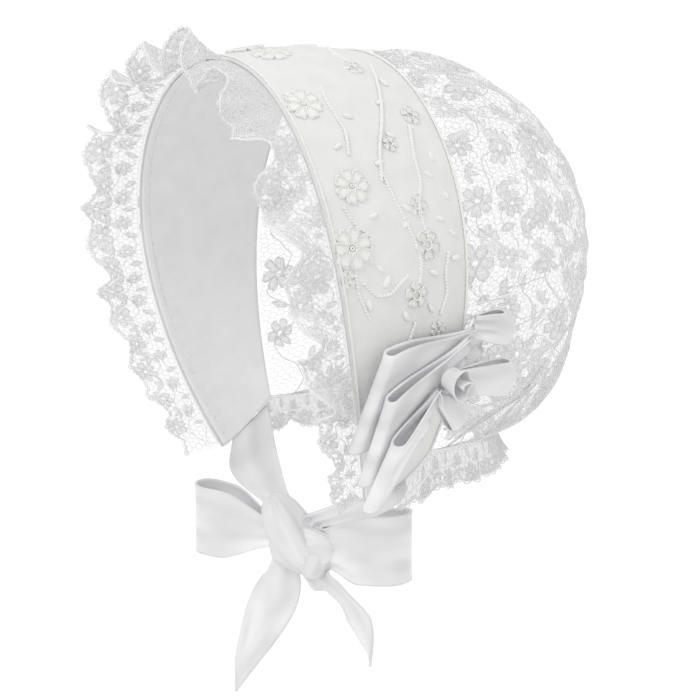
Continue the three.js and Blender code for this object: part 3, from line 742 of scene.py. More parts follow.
LACE_DRAWINGS = {
    "flower": petals(6, 6.4, 2.1, 0.5, 12),
    "leaf": [leaf(7.0, 1.5, corners=10)],
    "sprig": [leaf(6.0, 1.3, turn, 0.8, 10) for turn in (-0.9, 0.0, 0.9)],
}
lace_fillings = {
    kind: motif_object(kind + "_filling", [relief(shape, FILLING_RINGS) for shape in shapes])
    for kind, shapes in LACE_DRAWINGS.items()}
LACE_DRAWINGS["flower"].append(circle(PETAL_START, 8))
lace_outlines = {
    kind: motif_object(kind + "_outline", [thread_round(shape, OUTLINE_THREAD) for shape in shapes])
    for kind, shapes in LACE_DRAWINGS.items()}


def raised(count, tip, half_width, notch):
    return [relief(shape, RAISED_RINGS) for shape in petals(count, tip, half_width, notch)] + [
        thread_round(circle(EYE_RADIUS), EYE_THREAD, EYE_HEIGHT, 6)]


raised_flower = motif_object("raised_flower", raised(7, 7.5, 2.5, 0.8)
                             + [thread_round(circle(0.6, 8), 0.4, 0.5, 6)])
raised_small = motif_object("raised_small", raised(5, 4.6, 1.9, 0.3))
raised_leaf = motif_object("raised_leaf", [relief(leaf(4.2, 0.95), SOLID_RINGS)])
stem_knot = motif_object("stem_knot", [relief(leaf(1.9, 0.46, 0.5, -0.95, 8), SOLID_RINGS)])
picot = motif_object("picot", [thread_round(circle(0.95, 9), 0.24)])
stitch = motif_object("stitch", [relief(leaf(1.7, 0.28, 0.0, -0.85, 8), [
    (1.0, -0.05), (0.9, 0.16), (0.5, 0.22)])])


def sow(motif_piece, points, material):
    """Sets one motif on each point of (x, y, turn in degrees, size)."""
    points = np.asarray(points, float)
    return run_tree(motif_tree, np.c_[points[:, :2], np.zeros(len(points))], [],
                    {"Motif": motif_piece, "Material": material},
                    {"turn": np.radians(points[:, 2]), "size": points[:, 3]})


def string(motif_piece, line, spacing, thread, material):
    """Runs a thread along a flat line, with a motif at each spacing."""
    line = np.asarray(line, float)
    places = np.c_[line, np.zeros(len(line))] if line.shape[1] == 2 else line
    return run_tree(line_tree, places, [(k, k + 1) for k in range(len(line) - 1)], {
        "Motif": motif_piece, "Spacing": spacing, "Thread Radius": thread, "Material": material})


# %% [markdown]
# The band's embroidery is drawn flat in two short tables. Each flower has its place along the band
# from its top and from its middle line, in millimetres. Each stem is a soft curve through a few
# places, worked in slanted stitches that lie close, like a rope. The right side repeats the left
# with the drawing turned over.

# %% Embroidery on the band
STEM_SPACING = 1.15
STEM_THREAD = 0.36
EMBROIDERY_SUNK = 0.1
FLOWERS = [  # along, across, turn, size, kind
    (91.0, -20.0, 10, 1.02, "flower"),
    (71.0, -15.5, 35, 0.86, "flower"),
    (92.5, 8.5, 0, 1.12, "small"),
    (108.5, 2.2, 40, 1.0, "small"),
    (39.5, -20.5, 15, 0.9, "flower"),
    (79.5, 7.5, 20, 0.85, "small"),
    (24.0, 8.0, 50, 0.8, "small"),
    (8.0, -14.0, 5, 0.95, "flower"),
    (47.0, 18.0, 25, 0.8, "small"),
    (101.0, -23.0, 60, 0.72, "small"),
    (139.0, -3.0, 30, 0.9, "small"),
    (121.5, 10.5, 10, 0.7, "small"),
    (58.0, 4.0, 12, 0.62, "small"),
]
STEMS = [  # rows of (along, across) through which each stem runs
    [(22, 17), (34, 12), (47, 6), (60, -1), (70, -4)],
    [(68, -3), (77, -1), (86, 2), (97, 5), (107, 3)],
    [(52, 15), (62, 12), (72, 11), (80, 8), (90, 9)],
    [(103, -17), (107, -13), (107, -8), (104, -4), (102, -1)],
    [(100, -20), (107, -19), (114, -16)],
    [(96, 17), (103, 15), (109, 15), (116, 12)],
    [(34, -11), (42, -12), (52, -11), (60, -13)],
    [(4, 12), (12, 8), (20, 9)],
    [(78, -20), (84, -17), (88, -13), (96, -14)],
    [(118, 1), (126, -2), (134, -4)],
]
LEAVES = [  # along, across, turn, size
    (30, 15, 20, 1.0), (41, 10, -70, 0.9), (54, 4, 60, 0.9), (64, -1, -80, 0.9), (79, 1, 60, 1.0),
    (84, 3, -50, 0.9), (101, 8, 70, 1.0), (112, 7, 30, 0.9), (105, -10, 150, 1.1), (108, -16, 10, 1.0),
    (98, 18, 100, 1.0), (84, 14, 80, 0.9), (68, 14, 50, 0.9), (46, -9, 70, 0.9), (56, -14, -60, 0.9),
    (14, 6, 70, 0.9), (97, -12, 40, 0.9), (82, -12, 110, 0.9), (113, -3, 20, 1.0), (126, 2, 60, 0.9),
    (131, -7, -60, 0.9), (61, 19, 10, 0.9), (33, -25, 40, 0.9), (88, 19, 40, 0.8), (75, 20, 20, 0.8),
]


def smooth_line(rows, steps=40):
    """A smooth line through rows of places."""
    rows = np.asarray(rows, float)
    ends = np.vstack([2 * rows[0] - rows[1], rows, 2 * rows[-1] - rows[-2]])
    spots = np.linspace(0, len(rows) - 1, steps)
    first = np.minimum(spots.astype(int), len(rows) - 2)
    part = (spots - first)[:, None]
    before, here, there, beyond = (ends[first + k] for k in range(4))
    return 0.5 * (2 * here + (there - before) * part
                  + (2 * before - 5 * here + 4 * there - beyond) * part ** 2
                  + (3 * here - before - 3 * there + beyond) * part ** 3)


kinds = {"flower": raised_flower, "small": raised_small}
parts = []
for side in (1, -1):
    for kind, piece in kinds.items():
        rows = [(side * x, y, turn, size) for x, y, turn, size, what in FLOWERS if what == kind]
        parts.append(sow(piece, rows, embroidery_cotton))
    parts.append(sow(raised_leaf, [
        (side * x, y, turn if side > 0 else 180 - turn, size) for x, y, turn, size in LEAVES],
        embroidery_cotton))
    for rows in STEMS:
        stem = smooth_line(rows) * [side, 1]
        parts.append(string(stem_knot, stem, STEM_SPACING, STEM_THREAD, embroidery_cotton))
flat, faces = joined(parts)
band_embroidery = make_piece("band_embroidery", on_band(flat, CLOTH - EMBROIDERY_SUNK), faces,
                             embroidery_cotton, "batiste")

# %% [markdown]
# A row of small stitches holds the welt of the lining. It is strung along a flat line and laid on
# the inside, so its height counts inward.

# %% Lining stitches
STITCH_SPACING, STITCH_THREAD = 2.3, 0.05
STITCHES_FROM_EDGE, STITCHES_FROM_CORNER = 3.3, 2.0
STITCH_STEPS = 240


def in_lining(flat):
    """Brings flat places (along, from the front edge, height) onto the inside of the lining."""
    along = np.interp(flat[:, 0], band_run, BAND_STEPS)
    back = flat[:, 1] / np.interp(along, BAND_STEPS, band_width)
    lift = LINING_FRONT + flat[:, 2:3]
    return band_place(along, back) - band_facing(along, back) * lift


reach = BAND_LENGTH / 2 - STITCHES_FROM_CORNER
row = np.c_[np.linspace(-reach, reach, STITCH_STEPS), np.full(STITCH_STEPS, STITCHES_FROM_EDGE)]
stitches = string(stitch, row, STITCH_SPACING, STITCH_THREAD, lining_cotton)
lining_stitches = make_piece("lining_stitches", in_lining(stitches[0]), stitches[1],
                             embroidery_cotton, "cotton")

# %% [markdown]
# A net is a honeycomb of thread. Its points are the middles of the triangles of an even lattice,
# and each point of one kind is joined to its three neighbours of the other kind. Only threads
# whose two ends lie on the cloth are kept.

# %% Honeycomb
def honeycomb(low, high, pitch, keep):
    """Points and threads of a net over the box from low to high, in millimetres."""
    rise = pitch * math.sqrt(3) / 2
    rows = int((high[1] - low[1]) / rise) + 3
    columns = int((high[0] - low[0]) / pitch) + rows // 2 + 3
    i, j = np.meshgrid(np.arange(columns) - rows // 2, np.arange(rows), indexing="ij")
    lattice = np.stack([low[0] + pitch * (i + j / 2), low[1] + rise * j], -1)
    ups = lattice + [pitch / 2, rise / 3]
    downs = lattice + [pitch, 2 * rise / 3]
    points = np.concatenate([ups.reshape(-1, 2), downs.reshape(-1, 2)])
    number = np.arange(columns * rows).reshape(columns, rows)
    second = number + columns * rows
    threads = np.concatenate([
        np.stack([number, second], -1).reshape(-1, 2),
        np.stack([number[1:], second[:-1]], -1).reshape(-1, 2),
        np.stack([number[:, 1:], second[:, :-1]], -1).reshape(-1, 2),
    ])
    good = keep(points[:, 0], points[:, 1])
    threads = threads[good[threads].all(1)]
    used, fresh = np.unique(threads, return_inverse=True)
    return points[used], fresh.reshape(-1, 2)


def net_of(points, threads, radius, material):
    """A net in space from points in millimetres."""
    return run_tree(net_tree, points, threads, {"Thread Radius": radius, "Material": material})


# %% [markdown]
# The back of the hat is a round of lace that is gathered into the back seam. Its rule runs from
# the rim to one point at the back of the head. Sixteen main gathers swing in and out, as in the
# solid, and finer ones die out on the way back.

# %% The lace back's rule
CROWN_POLE_Y, CROWN_POLE_Z = 92.0, -72.0
NAPE_REACH, NAPE_DROP = 56.0, 2.0
CROWN_CORE_Y = 10.0
CROWN_GATHERS, CROWN_GATHER_DEPTH = 16, 2.6
FINE_GATHERS, FINE_GATHER_DEPTH = 41, 1.3
NAPE_GATHER_PITCH, NAPE_GATHER_DEPTH = 1.1, 0.5
SEAM_END = 1.5
ARCH_COLUMNS, NAPE_COLUMNS = 64, 14
RIM_COLUMNS = ARCH_COLUMNS + NAPE_COLUMNS
band_corner = band_place(1.0, 1.0)


def crown_rim(column):
    column = np.mod(np.asarray(column, float), RIM_COLUMNS)
    seam = band_place(np.clip(-1 + 2 * column / ARCH_COLUMNS, -1, 1), 1.0)
    angle = math.pi * (column - ARCH_COLUMNS) / NAPE_COLUMNS
    nape = np.stack([
        band_corner[0] * np.cos(angle),
        band_corner[1] + NAPE_REACH * np.sin(angle),
        band_corner[2] - NAPE_DROP * np.sin(angle),
    ], -1)
    return np.where((column <= ARCH_COLUMNS)[..., None], seam, nape)


def crown_smooth(column, share):
    rim = crown_rim(column)
    turn = np.asarray(share, float) * math.pi / 2
    return np.stack([
        rim[..., 0] * np.cos(turn),
        rim[..., 1] + GAP + (CROWN_POLE_Y - rim[..., 1]) * np.sin(turn),
        CROWN_POLE_Z + (rim[..., 2] - CROWN_POLE_Z) * np.cos(turn),
    ], -1)


def crown_facing(column, share):
    share = np.clip(share, 0.02, 0.985)
    place = crown_smooth(column, share)
    outward = np.stack([place[..., 0], (place[..., 1] - CROWN_CORE_Y) * share,
                        place[..., 2] - CROWN_POLE_Z], -1)
    return facing(crown_smooth, np.asarray(column, float), share, outward)


def crown_place(column, share, lift=0.0):
    """A place on the gathered lace, lift above it."""
    column, share = np.broadcast_arrays(np.asarray(column, float), np.asarray(share, float))
    wrapped = np.mod(column, RIM_COLUMNS)
    root = np.sqrt(np.clip(share, 0, 1))
    seam = wrapped / ARCH_COLUMNS
    on_seam = ease(np.minimum(wrapped, ARCH_COLUMNS - wrapped) / SEAM_END) * (wrapped <= ARCH_COLUMNS)
    folds = np.sin(2 * math.pi * CROWN_GATHERS * seam)
    main = CROWN_GATHER_DEPTH * 4 * root * (1 - root) * (1 - np.clip(share, 0, 1)) ** 1.5 * folds
    fine_folds = np.sin(2 * math.pi * FINE_GATHERS * seam + 2.0 * np.sin(2 * math.pi * 5 * seam))
    fine = FINE_GATHER_DEPTH * np.exp(-5 * share) * (1 - np.exp(-40 * share)) * fine_folds
    nape_folds = np.sin(2 * math.pi * wrapped / NAPE_GATHER_PITCH)
    nape = NAPE_GATHER_DEPTH * np.exp(-14 * share) * nape_folds * (1 - on_seam)
    rise = main * on_seam + fine * on_seam + nape * (1 - np.exp(-60 * share)) + lift
    return crown_smooth(column, share) + crown_facing(column, share) * rise[..., None]


rim_steps = np.linspace(0, RIM_COLUMNS, 781)
rim_run = running_length(crown_rim(rim_steps))
CROWN_RADIUS = 104.0
print("rim is", round(rim_run[-1]), "mm round")

# %% [markdown]
# The ground is a thin closed skin that follows the gathers. The net is drawn on a flat round, whose
# middle is the rearmost point, and is laid over the same gathers.

# %% Lace back: ground and net
CROWN_COLUMNS, CROWN_ROWS = 312, 44
CROWN_NET_PITCH = 2.4
NET_THREAD, NET_LIFT = 0.08, 0.05
GROUND_HALF = 0.12

columns = np.arange(CROWN_COLUMNS) * RIM_COLUMNS / CROWN_COLUMNS
shares = np.linspace(0, 1, CROWN_ROWS) ** 1.15
column, share = np.meshgrid(columns, shares, indexing="ij")
outer, inner = (crown_place(column, share, lift) for lift in (GROUND_HALF, -GROUND_HALF))
places, faces = thin_wall(outer, inner, closed=True)
crown_lace = make_piece("crown_lace", places, without_shrunk(places, faces), crown_ground, "lace",
                        ["back_crown"])
CROWN_AREA = area_of(outer.reshape(-1, 3), grid_faces(CROWN_COLUMNS, CROWN_ROWS, closed=True))


def on_crown_round(flat):
    """Brings a place of the flat round onto the lace back. The round's middle is the pole."""
    reach = np.hypot(flat[:, 0], flat[:, 1]) / CROWN_RADIUS
    turn = np.mod(np.arctan2(flat[:, 1], flat[:, 0]) / (2 * math.pi), 1.0)
    return crown_place(np.interp(turn * rim_run[-1], rim_run, rim_steps), 1 - reach, NET_LIFT)


points, threads = honeycomb((-CROWN_RADIUS, -CROWN_RADIUS), (CROWN_RADIUS, CROWN_RADIUS),
                            CROWN_NET_PITCH, lambda x, y: np.hypot(x, y) < CROWN_RADIUS - 0.5)
crown_net = make_piece("crown_net", *net_of(on_crown_round(points), threads, NET_THREAD, lace_cotton),
                       lace_cotton, "lace", ["back_crown"])
print("lace back area", round(CROWN_AREA, 4))

# %% [markdown]
# Flowers, leaves and sprigs are sown over the lace back in rings, with a winding stem through each
# ring. A round of lace can't be laid on a dome without stretching a drawing, so each motif is drawn
# on a tile of its own and laid on the dome by two directions that lie in the cloth there. It keeps
# its true shape and still follows the folds.

# %% Lace back: flowers
TILE = 100.0
CROWN_MOTIF_ROWS = [  # share from rim to pole, spacing in mm, start, size
    (0.070, 23.0, 0.0, 0.90),
    (0.185, 25.0, 0.5, 1.05),
    (0.300, 24.0, 0.2, 0.95),
    (0.420, 25.0, 0.7, 1.05),
    (0.540, 24.0, 0.1, 0.95),
    (0.660, 24.0, 0.6, 1.05),
    (0.780, 23.0, 0.3, 0.95),
    (0.900, 34.0, 0.8, 0.80),
]
CROWN_LEFT_OUT = 0.28
VINE_THREAD, VINE_SWING, VINE_LIFT = 0.22, 0.035, 0.15
wander = np.random.RandomState(7)


def crown_spots():
    """Columns and shares of the flowers, leaves and sprigs. Some are left out, so gaps are uneven."""
    flowers, leaves, sprigs = [], [], []
    for share, spacing, first, size in CROWN_MOTIF_ROWS:
        ring = running_length(crown_smooth(rim_steps, share))
        count = max(4, int(round(ring[-1] / spacing)))
        for k in range(count):
            shift = wander.uniform(-0.12, 0.12)
            column = np.interp(((k + first + shift) / count % 1) * ring[-1], ring, rim_steps)
            here = share + wander.uniform(-0.012, 0.012)
            flowers.append((column, here, wander.uniform(0, 60), size * wander.uniform(0.75, 1.2)))
            half = np.interp(((k + first + 0.5) / count % 1) * ring[-1], ring, rim_steps)
            leaves.append((half, share - 0.03, wander.uniform(60, 120), 0.85))
            sprigs.append((half, share + 0.05, 90 + wander.uniform(-25, 25), 0.8))
    return [[spot for spot in spots if wander.uniform() > CROWN_LEFT_OUT]
            for spots in (flowers, leaves, sprigs)]


def crown_vine(share, spacing, first):
    """A stem that winds round the lace back, over and under the flowers of one ring."""
    ring = running_length(crown_smooth(rim_steps, share))
    waves = max(4, int(round(ring[-1] / spacing)))
    swing = VINE_SWING * np.sin(2 * math.pi * (waves * ring / ring[-1] - first))
    line = crown_place(rim_steps, share + swing, VINE_LIFT)[:-1]
    around = np.arange(len(line))
    return net_of(line, np.c_[around, np.roll(around, -1)], VINE_THREAD, lace_cotton)


def on_crown_tiles(flat, spots):
    """Lays motifs that were drawn on tiles onto the lace back at their spots."""
    tile = np.round(flat[:, 0] / TILE).astype(int)
    column, share = spots[tile, 0], spots[tile, 1]
    step = 1e-3
    by_column = (crown_smooth(column + step, share) - crown_smooth(column - step, share)) / (2 * step)
    by_share = (crown_smooth(column, share + step) - crown_smooth(column, share - step)) / (2 * step)
    right = unit(by_column)
    up = unit(by_share - right * (by_share * right).sum(-1, keepdims=True))
    across, along = flat[:, 0] - tile * TILE, flat[:, 1]
    share_step = along / (by_share * up).sum(-1)
    column_step = (across - share_step * (by_share * right).sum(-1)) / (by_column * right).sum(-1)
    return crown_place(column + column_step, np.clip(share + share_step, 0.004, 0.999), flat[:, 2])


fillings, threads = [], []
for kind, spots in zip(("flower", "leaf", "sprig"), crown_spots()):
    spots = np.asarray(spots)
    tiles = np.c_[np.arange(len(spots)) * TILE, np.zeros(len(spots)), spots[:, 2:]]
    for motifs, parts in ((lace_fillings, fillings), (lace_outlines, threads)):
        flat, faces = sow(motifs[kind], tiles, lace_cotton)
        parts.append((on_crown_tiles(flat, spots), faces))
threads += [crown_vine(share, spacing, first) for share, spacing, first, size in CROWN_MOTIF_ROWS]
crown_petals = make_piece("crown_petals", *joined(fillings), petal_filling, "lace", ["back_crown"])
crown_flowers = make_piece("crown_flowers", *joined(threads), lace_cotton, "lace", ["back_crown"])

# %% [markdown]
# The ruffle is a strip of lace edging, gathered along the face so that it stands out in folds. Its
# outer edge is cut in scallops, with a flower in each and a row of tiny loops along it. All of it
# is drawn on the flat strip, then laid on the folds by the ruffle's rule. The folds lean to and fro,
# and their tips are drawn in a little, so that they look soft.

# %% The ruffle's rule
RUFFLE_WIDTH, RUFFLE_END_WIDTH, RUFFLE_FOLDS = 22.0, 14.0, 14
RUFFLE_SWING, RUFFLE_END_SWING = 23.0, 8.0
RUFFLE_FLARES = np.array([  # along, flare in degrees
    (-1.0, 12.0), (-0.6, 16.0), (-0.2, 12.0), (0.0, 10.0),
    (0.25, 2.0), (0.5, 4.0), (0.75, 12.0), (1.0, 13.0),
])
RUFFLE_WRINKLE = 3.2
RUFFLE_UNEVEN = 0.3
RUFFLE_LEAN = 0.8
RUFFLE_CURL = 0.14
STRIP_TRUE_SHARE = 0.7  # where across a strip its flat length is taken


def ruffle_flare(along):
    stop = np.clip(np.searchsorted(RUFFLE_FLARES[:, 0], along), 1, len(RUFFLE_FLARES) - 1)
    start, end = RUFFLE_FLARES[stop - 1], RUFFLE_FLARES[stop]
    return mix(start[..., 1], end[..., 1],
               ease((along - start[..., 0]) / (end[..., 0] - start[..., 0])))


def ruffle_width(along):
    return mix(RUFFLE_WIDTH, RUFFLE_END_WIDTH, np.abs(along) ** 3)


def ruffle_place(along, share):
    along, share = np.broadcast_arrays(np.asarray(along, float), np.asarray(share, float))
    seam = band_place(along, 0.0)
    out = unit(band_facing(along, np.full(along.shape, EDGE)) * [1, 0, 1])
    low = np.abs(along) ** 3
    fold = math.pi * RUFFLE_FOLDS * along
    uneven = 1 + RUFFLE_UNEVEN * np.sin(0.43 * fold + 1.0)
    lean = RUFFLE_LEAN * share * np.sin(7.0 * along + 1.0)
    wave = np.sin(fold + 0.6 * np.sin(3.1 * along) + lean)
    swing = mix(RUFFLE_SWING, RUFFLE_END_SWING, low) * uneven * wave
    crease = np.clip(share, 0, 1.2) ** 0.6
    wrinkle = RUFFLE_WRINKLE * np.sin(4.3 * fold + 2.0 * np.sin(5.3 * along)) * (1 - 0.5 * share)
    lift = np.radians(ruffle_flare(along) + swing * crease + wrinkle)
    reach = ruffle_width(along) * share * (1 - RUFFLE_CURL * (share * wave) ** 2)
    return np.stack([
        seam[..., 0] + out[..., 0] * reach * np.sin(lift),
        seam[..., 1] - GAP - reach * np.cos(lift),
        seam[..., 2] + out[..., 2] * reach * np.sin(lift),
    ], -1)


def ruffle_facing(along, share):
    share = np.clip(share, 0.02, 1.2)
    outward = ruffle_place(along, share) * [1, 0, 1] - [0, 0, CROWN_POLE_Z]
    return facing(ruffle_place, np.asarray(along, float), share, outward)


ruffle_steps = np.linspace(-1, 1, 4001)
ruffle_run = running_length(ruffle_place(ruffle_steps, STRIP_TRUE_SHARE))
RUFFLE_LENGTH = ruffle_run[-1]


def on_ruffle(flat):
    """Brings flat places (along the strip, out from the seam, height) onto the ruffle."""
    along = np.interp(flat[:, 0], ruffle_run, ruffle_steps)
    share = np.clip(flat[:, 1] / ruffle_width(along), 0.0, 1.1)
    return ruffle_place(along, share) + ruffle_facing(along, share) * flat[:, 2:3]


print("ruffle strip is", round(RUFFLE_LENGTH), "mm long")

# %% [markdown]
# The ruffle and the frill are both strips of lace, so one function makes the whole of a strip. It
# draws the net, the petals, the thick threads and the edge flat, and the strip's own rule lays them.

# %% A strip of lace
SCALLOP = 12.5
SCALLOP_DEPTH = 2.2
STRIP_NET_PITCH = 2.3
PICOT_SPACING, PICOT_THREAD = 2.6, 0.36
STRIP_STEM, STRIP_STEM_SWING, STRIP_STEM_LIFT = 0.15, 0.09, 0.12
EDGE_INSET = 0.2


def scallop_edge(run, width):
    """How far out the scalloped edge of a strip is."""
    return width - SCALLOP_DEPTH * (1 - np.abs(np.cos(math.pi * run / SCALLOP)) ** 0.55)


def strip_spots(length, width_of):
    """Flowers at the scallops of a strip, with small flowers, leaves and sprigs up to the seam."""
    spots = np.arange(SCALLOP, length - SCALLOP / 2, SCALLOP)
    between = spots + SCALLOP / 2
    width = width_of(spots)
    size = np.clip(width / RUFFLE_WIDTH, 0.62, 1.0) * 0.86
    turns = wander.uniform(-25, 25, (5, len(spots)))
    return {
        "flower": np.vstack([np.c_[spots, width - 6.2 * size, turns[0], size],
                             np.c_[between, width * 0.30, turns[1], size * 0.62]]),
        "sprig": np.c_[between, width * 0.52, 90 + turns[2], size * 0.85],
        "leaf": np.vstack([np.c_[spots, width * 0.08, 90 + turns[3], size * 0.85],
                           np.c_[spots + SCALLOP / 4, width * 0.36, 40 + turns[4], size * 0.7]]),
    }


def strip_stem(length, width_of, share, first):
    """A stem that winds along a strip at a share of its width."""
    run = np.arange(2.0, length - 2.0, 0.9)
    swing = STRIP_STEM_SWING * np.sin(2 * math.pi * (run / SCALLOP - first))
    line = np.c_[run, width_of(run) * (share + swing), np.full(len(run), STRIP_STEM_LIFT)]
    steps = np.arange(len(run) - 1)
    return net_of(line, np.c_[steps, steps + 1], STRIP_STEM, lace_cotton)


def lace_strip(name, node, length, width_of, to_space, ground, columns, rows, stems):
    """One whole strip: its ground, net, petals, thick threads and looped edge, laid on its folds."""
    run, share = np.meshgrid(
        np.linspace(0, length, columns), np.linspace(0, 1, rows), indexing="ij")
    out = share * scallop_edge(run, width_of(run))
    sides = []
    for height in (GROUND_HALF, -GROUND_HALF):
        flat = np.stack([run.ravel(), out.ravel(), np.full(run.size, height)], -1)
        sides.append(to_space(flat).reshape(*run.shape, 3))
    lace = make_piece(f"{name}_lace", *thin_wall(*sides), ground, "lace", [node])

    broad = width_of(run).max()
    points, lines = honeycomb((0, 0), (length, broad), STRIP_NET_PITCH, lambda x, y: (
        (x > 0) & (x < length) & (y > 0) & (y < scallop_edge(x, width_of(x)) - EDGE_INSET)))
    points = np.c_[points, np.full(len(points), NET_LIFT)]
    spots = strip_spots(length, width_of)
    along = np.arange(1.0, length - 1.0, 0.8)
    edge = np.c_[along, scallop_edge(along, width_of(along)) - EDGE_INSET]
    drawings = {
        "petals": [sow(lace_fillings[kind], spots[kind], petal_filling) for kind in spots],
        "flowers": [sow(lace_outlines[kind], spots[kind], lace_cotton) for kind in spots] + [
            strip_stem(length, width_of, share, first) for share, first in stems],
        "edge": [string(picot, edge, PICOT_SPACING, PICOT_THREAD, lace_cotton)],
    }
    net = net_of(to_space(points), lines, NET_THREAD, lace_cotton)
    pieces = [make_piece(f"{name}_net", *net, lace_cotton, "lace", [node])]
    for part, drawn in drawings.items():
        flat, faces = joined(drawn)
        material = petal_filling if part == "petals" else lace_cotton
        pieces.append(make_piece(f"{name}_{part}", to_space(flat), faces, material, "lace", [node]))


# %% [markdown]
# The ruffle is then one call. Two stems wind along it between the flowers.

# %% Ruffle
def ruffle_width_at(run):
    return ruffle_width(np.interp(run, ruffle_run, ruffle_steps))


lace_strip("ruffle", "front_ruffle", RUFFLE_LENGTH, ruffle_width_at, on_ruffle, edging_ground,
           601, 13, [(0.20, 0.0), (0.45, 0.5)])

# %% [markdown]
# The frill at the nape is a narrower strip of lace on a doubled ground. It hangs from the rim of the
# lace back, runs forward under the band at both ends, and is made by the same functions, with its
# own rule for where it hangs.

# %% Neck frill
FRILL_WIDTH, FRILL_LEFT_WIDTH = 12.0, 6.0
FRILL_FOLDS, FRILL_FLARE, FRILL_SWING = 12, 14.0, 12.0
FRILL_WRINKLES, FRILL_WRINKLE, FRILL_OVERLAP = 31, 3.0, 0.3
FRILL_LEFT, FRILL_RIGHT, FRILL_FORWARD = -0.1, 1.03, 6.0
FRILL_OFFSET = {"nape": 1.0, "ends": 2.1, "over": 0.02}


def frill_width(along):
    """The frill's own width, which narrows to its left end."""
    return mix(FRILL_WIDTH, FRILL_LEFT_WIDTH, ease(along / FRILL_LEFT))


def frill_rim(along):
    """What the frill hangs from: the nape's rim, and past its ends the lower edge of the band."""
    nape = crown_rim(ARCH_COLUMNS + NAPE_COLUMNS * np.clip(along, 0, 1))
    left = band_place(1.0, np.minimum(1, 1 + along * FRILL_FORWARD))
    right = band_place(-1.0, np.minimum(1, 1 - (along - 1) * FRILL_FORWARD))
    return np.where((along < 0)[..., None], left, np.where((along > 1)[..., None], right, nape))


def frill_place(along, share):
    along, share = np.broadcast_arrays(np.asarray(along, float), np.asarray(share, float))
    rim = frill_rim(along)
    outward = unit(np.stack([
        rim[..., 0], np.maximum(0, rim[..., 1] - band_corner[1]), np.zeros(rim.shape[:-1])], -1))
    swing = FRILL_SWING * np.sin(2 * math.pi * FRILL_FOLDS * along) * share
    wrinkles = np.sin(2 * math.pi * FRILL_WRINKLES * along + 2 * np.sin(9 * along))
    small = FRILL_WRINKLE * wrinkles * share
    lean = np.radians(FRILL_FLARE + swing + small)
    reach = frill_width(along) * share
    to_end = 1 - np.minimum(along, 1 - along) / FRILL_OFFSET["over"]
    offset = mix(FRILL_OFFSET["nape"], FRILL_OFFSET["ends"], ease(to_end))
    out = offset * ease(0.4 + 4 * share) + reach * np.sin(lean)
    below = mix(-FRILL_OVERLAP, CLOTH + GAP, ease(4 * share))
    return np.stack([
        rim[..., 0] + outward[..., 0] * out,
        rim[..., 1] + outward[..., 1] * out + GAP,
        rim[..., 2] - below - reach * np.cos(lean),
    ], -1)


def frill_facing(along, share):
    share = np.clip(share, 0.02, 1.2)
    outward = (frill_place(along, share) - [0, band_corner[1], 0]) * [1, 1, 0]
    return facing(frill_place, np.asarray(along, float), share, outward)


frill_steps = np.linspace(FRILL_LEFT, FRILL_RIGHT, 2001)
frill_run = running_length(frill_place(frill_steps, STRIP_TRUE_SHARE))
FRILL_LENGTH = frill_run[-1]


def on_frill(flat):
    along = np.interp(flat[:, 0], frill_run, frill_steps)
    share = np.clip(flat[:, 1] / frill_width(along), 0.0, 1.1)
    return frill_place(along, share) + frill_facing(along, share) * flat[:, 2:3]


def frill_width_at(run):
    return frill_width(np.interp(run, frill_run, frill_steps))


lace_strip("frill", "neck_frill", FRILL_LENGTH, frill_width_at, on_frill, frill_ground,
           241, 9, [])
print("frill strip is", round(FRILL_LENGTH), "mm long")

# %% [markdown]
# Two corded seams run along the band's long edges. A cord of twisted strands shows as a tube whose
# surface winds round it, so each ring of the tube is given three soft lobes that turn as it runs.

# %% Corded seams
PIPING_RADIUS, PIPING_SUNK = 0.45, 0.2
PIPING_TWIST, PIPING_STRANDS = 2.6, 3
PIPING_COLUMNS, PIPING_SIDES, PIPING_END = 421, 10, 0.99


def corded_seam(name, back, node):
    along = np.linspace(-PIPING_END, PIPING_END, PIPING_COLUMNS)
    out = band_facing(along, np.full(along.shape, back))
    middle = band_place(along, back) + out * (CLOTH + PIPING_RADIUS - PIPING_SUNK)
    run = running_length(middle)
    ahead = unit(np.gradient(middle, axis=0))
    aside = np.cross(ahead, out)
    turn = np.linspace(0, 2 * math.pi, PIPING_SIDES, endpoint=False)
    lobes = PIPING_RADIUS * (0.86 + 0.12 * np.cos(
        PIPING_STRANDS * (turn[None, :]
                          - 2 * math.pi * run[:, None] / (PIPING_STRANDS * PIPING_TWIST))))
    rings = (middle[:, None] + out[:, None] * (lobes * np.cos(turn))[..., None]
             + aside[:, None] * (lobes * np.sin(turn))[..., None])
    count = PIPING_COLUMNS * PIPING_SIDES
    faces = tube_faces(PIPING_COLUMNS, PIPING_SIDES)
    faces += [list(range(PIPING_SIDES)), list(range(count - PIPING_SIDES, count))]
    make_piece(name, rings.reshape(-1, 3), faces, embroidery_cotton, "batiste", [node])


corded_seam("front_cord", 0.02, "front_piping")
corded_seam("back_cord", 0.98, "back_piping")

# %% [markdown]
# Ribbons are made from rows: a place, the way that the width runs there, and how wide it is. The
# same function makes the rosette's loops, the bow, the ties and the tails. A ribbon is half a
# millimetre thick, and its two selvedges are a little thicker. Where a knot or a stitch pinches it,
# it lies in small pleats, which open out as the ribbon runs free.

# %% Ribbons
RIBBON_HALF = 0.24
SELVEDGE_HALF, SELVEDGE_START, SELVEDGE_RAMP = 0.42, 0.43, 0.05
RIBBON_ROWS = 25
PLEATS, PLEAT_DEPTH = 2.5, 0.8


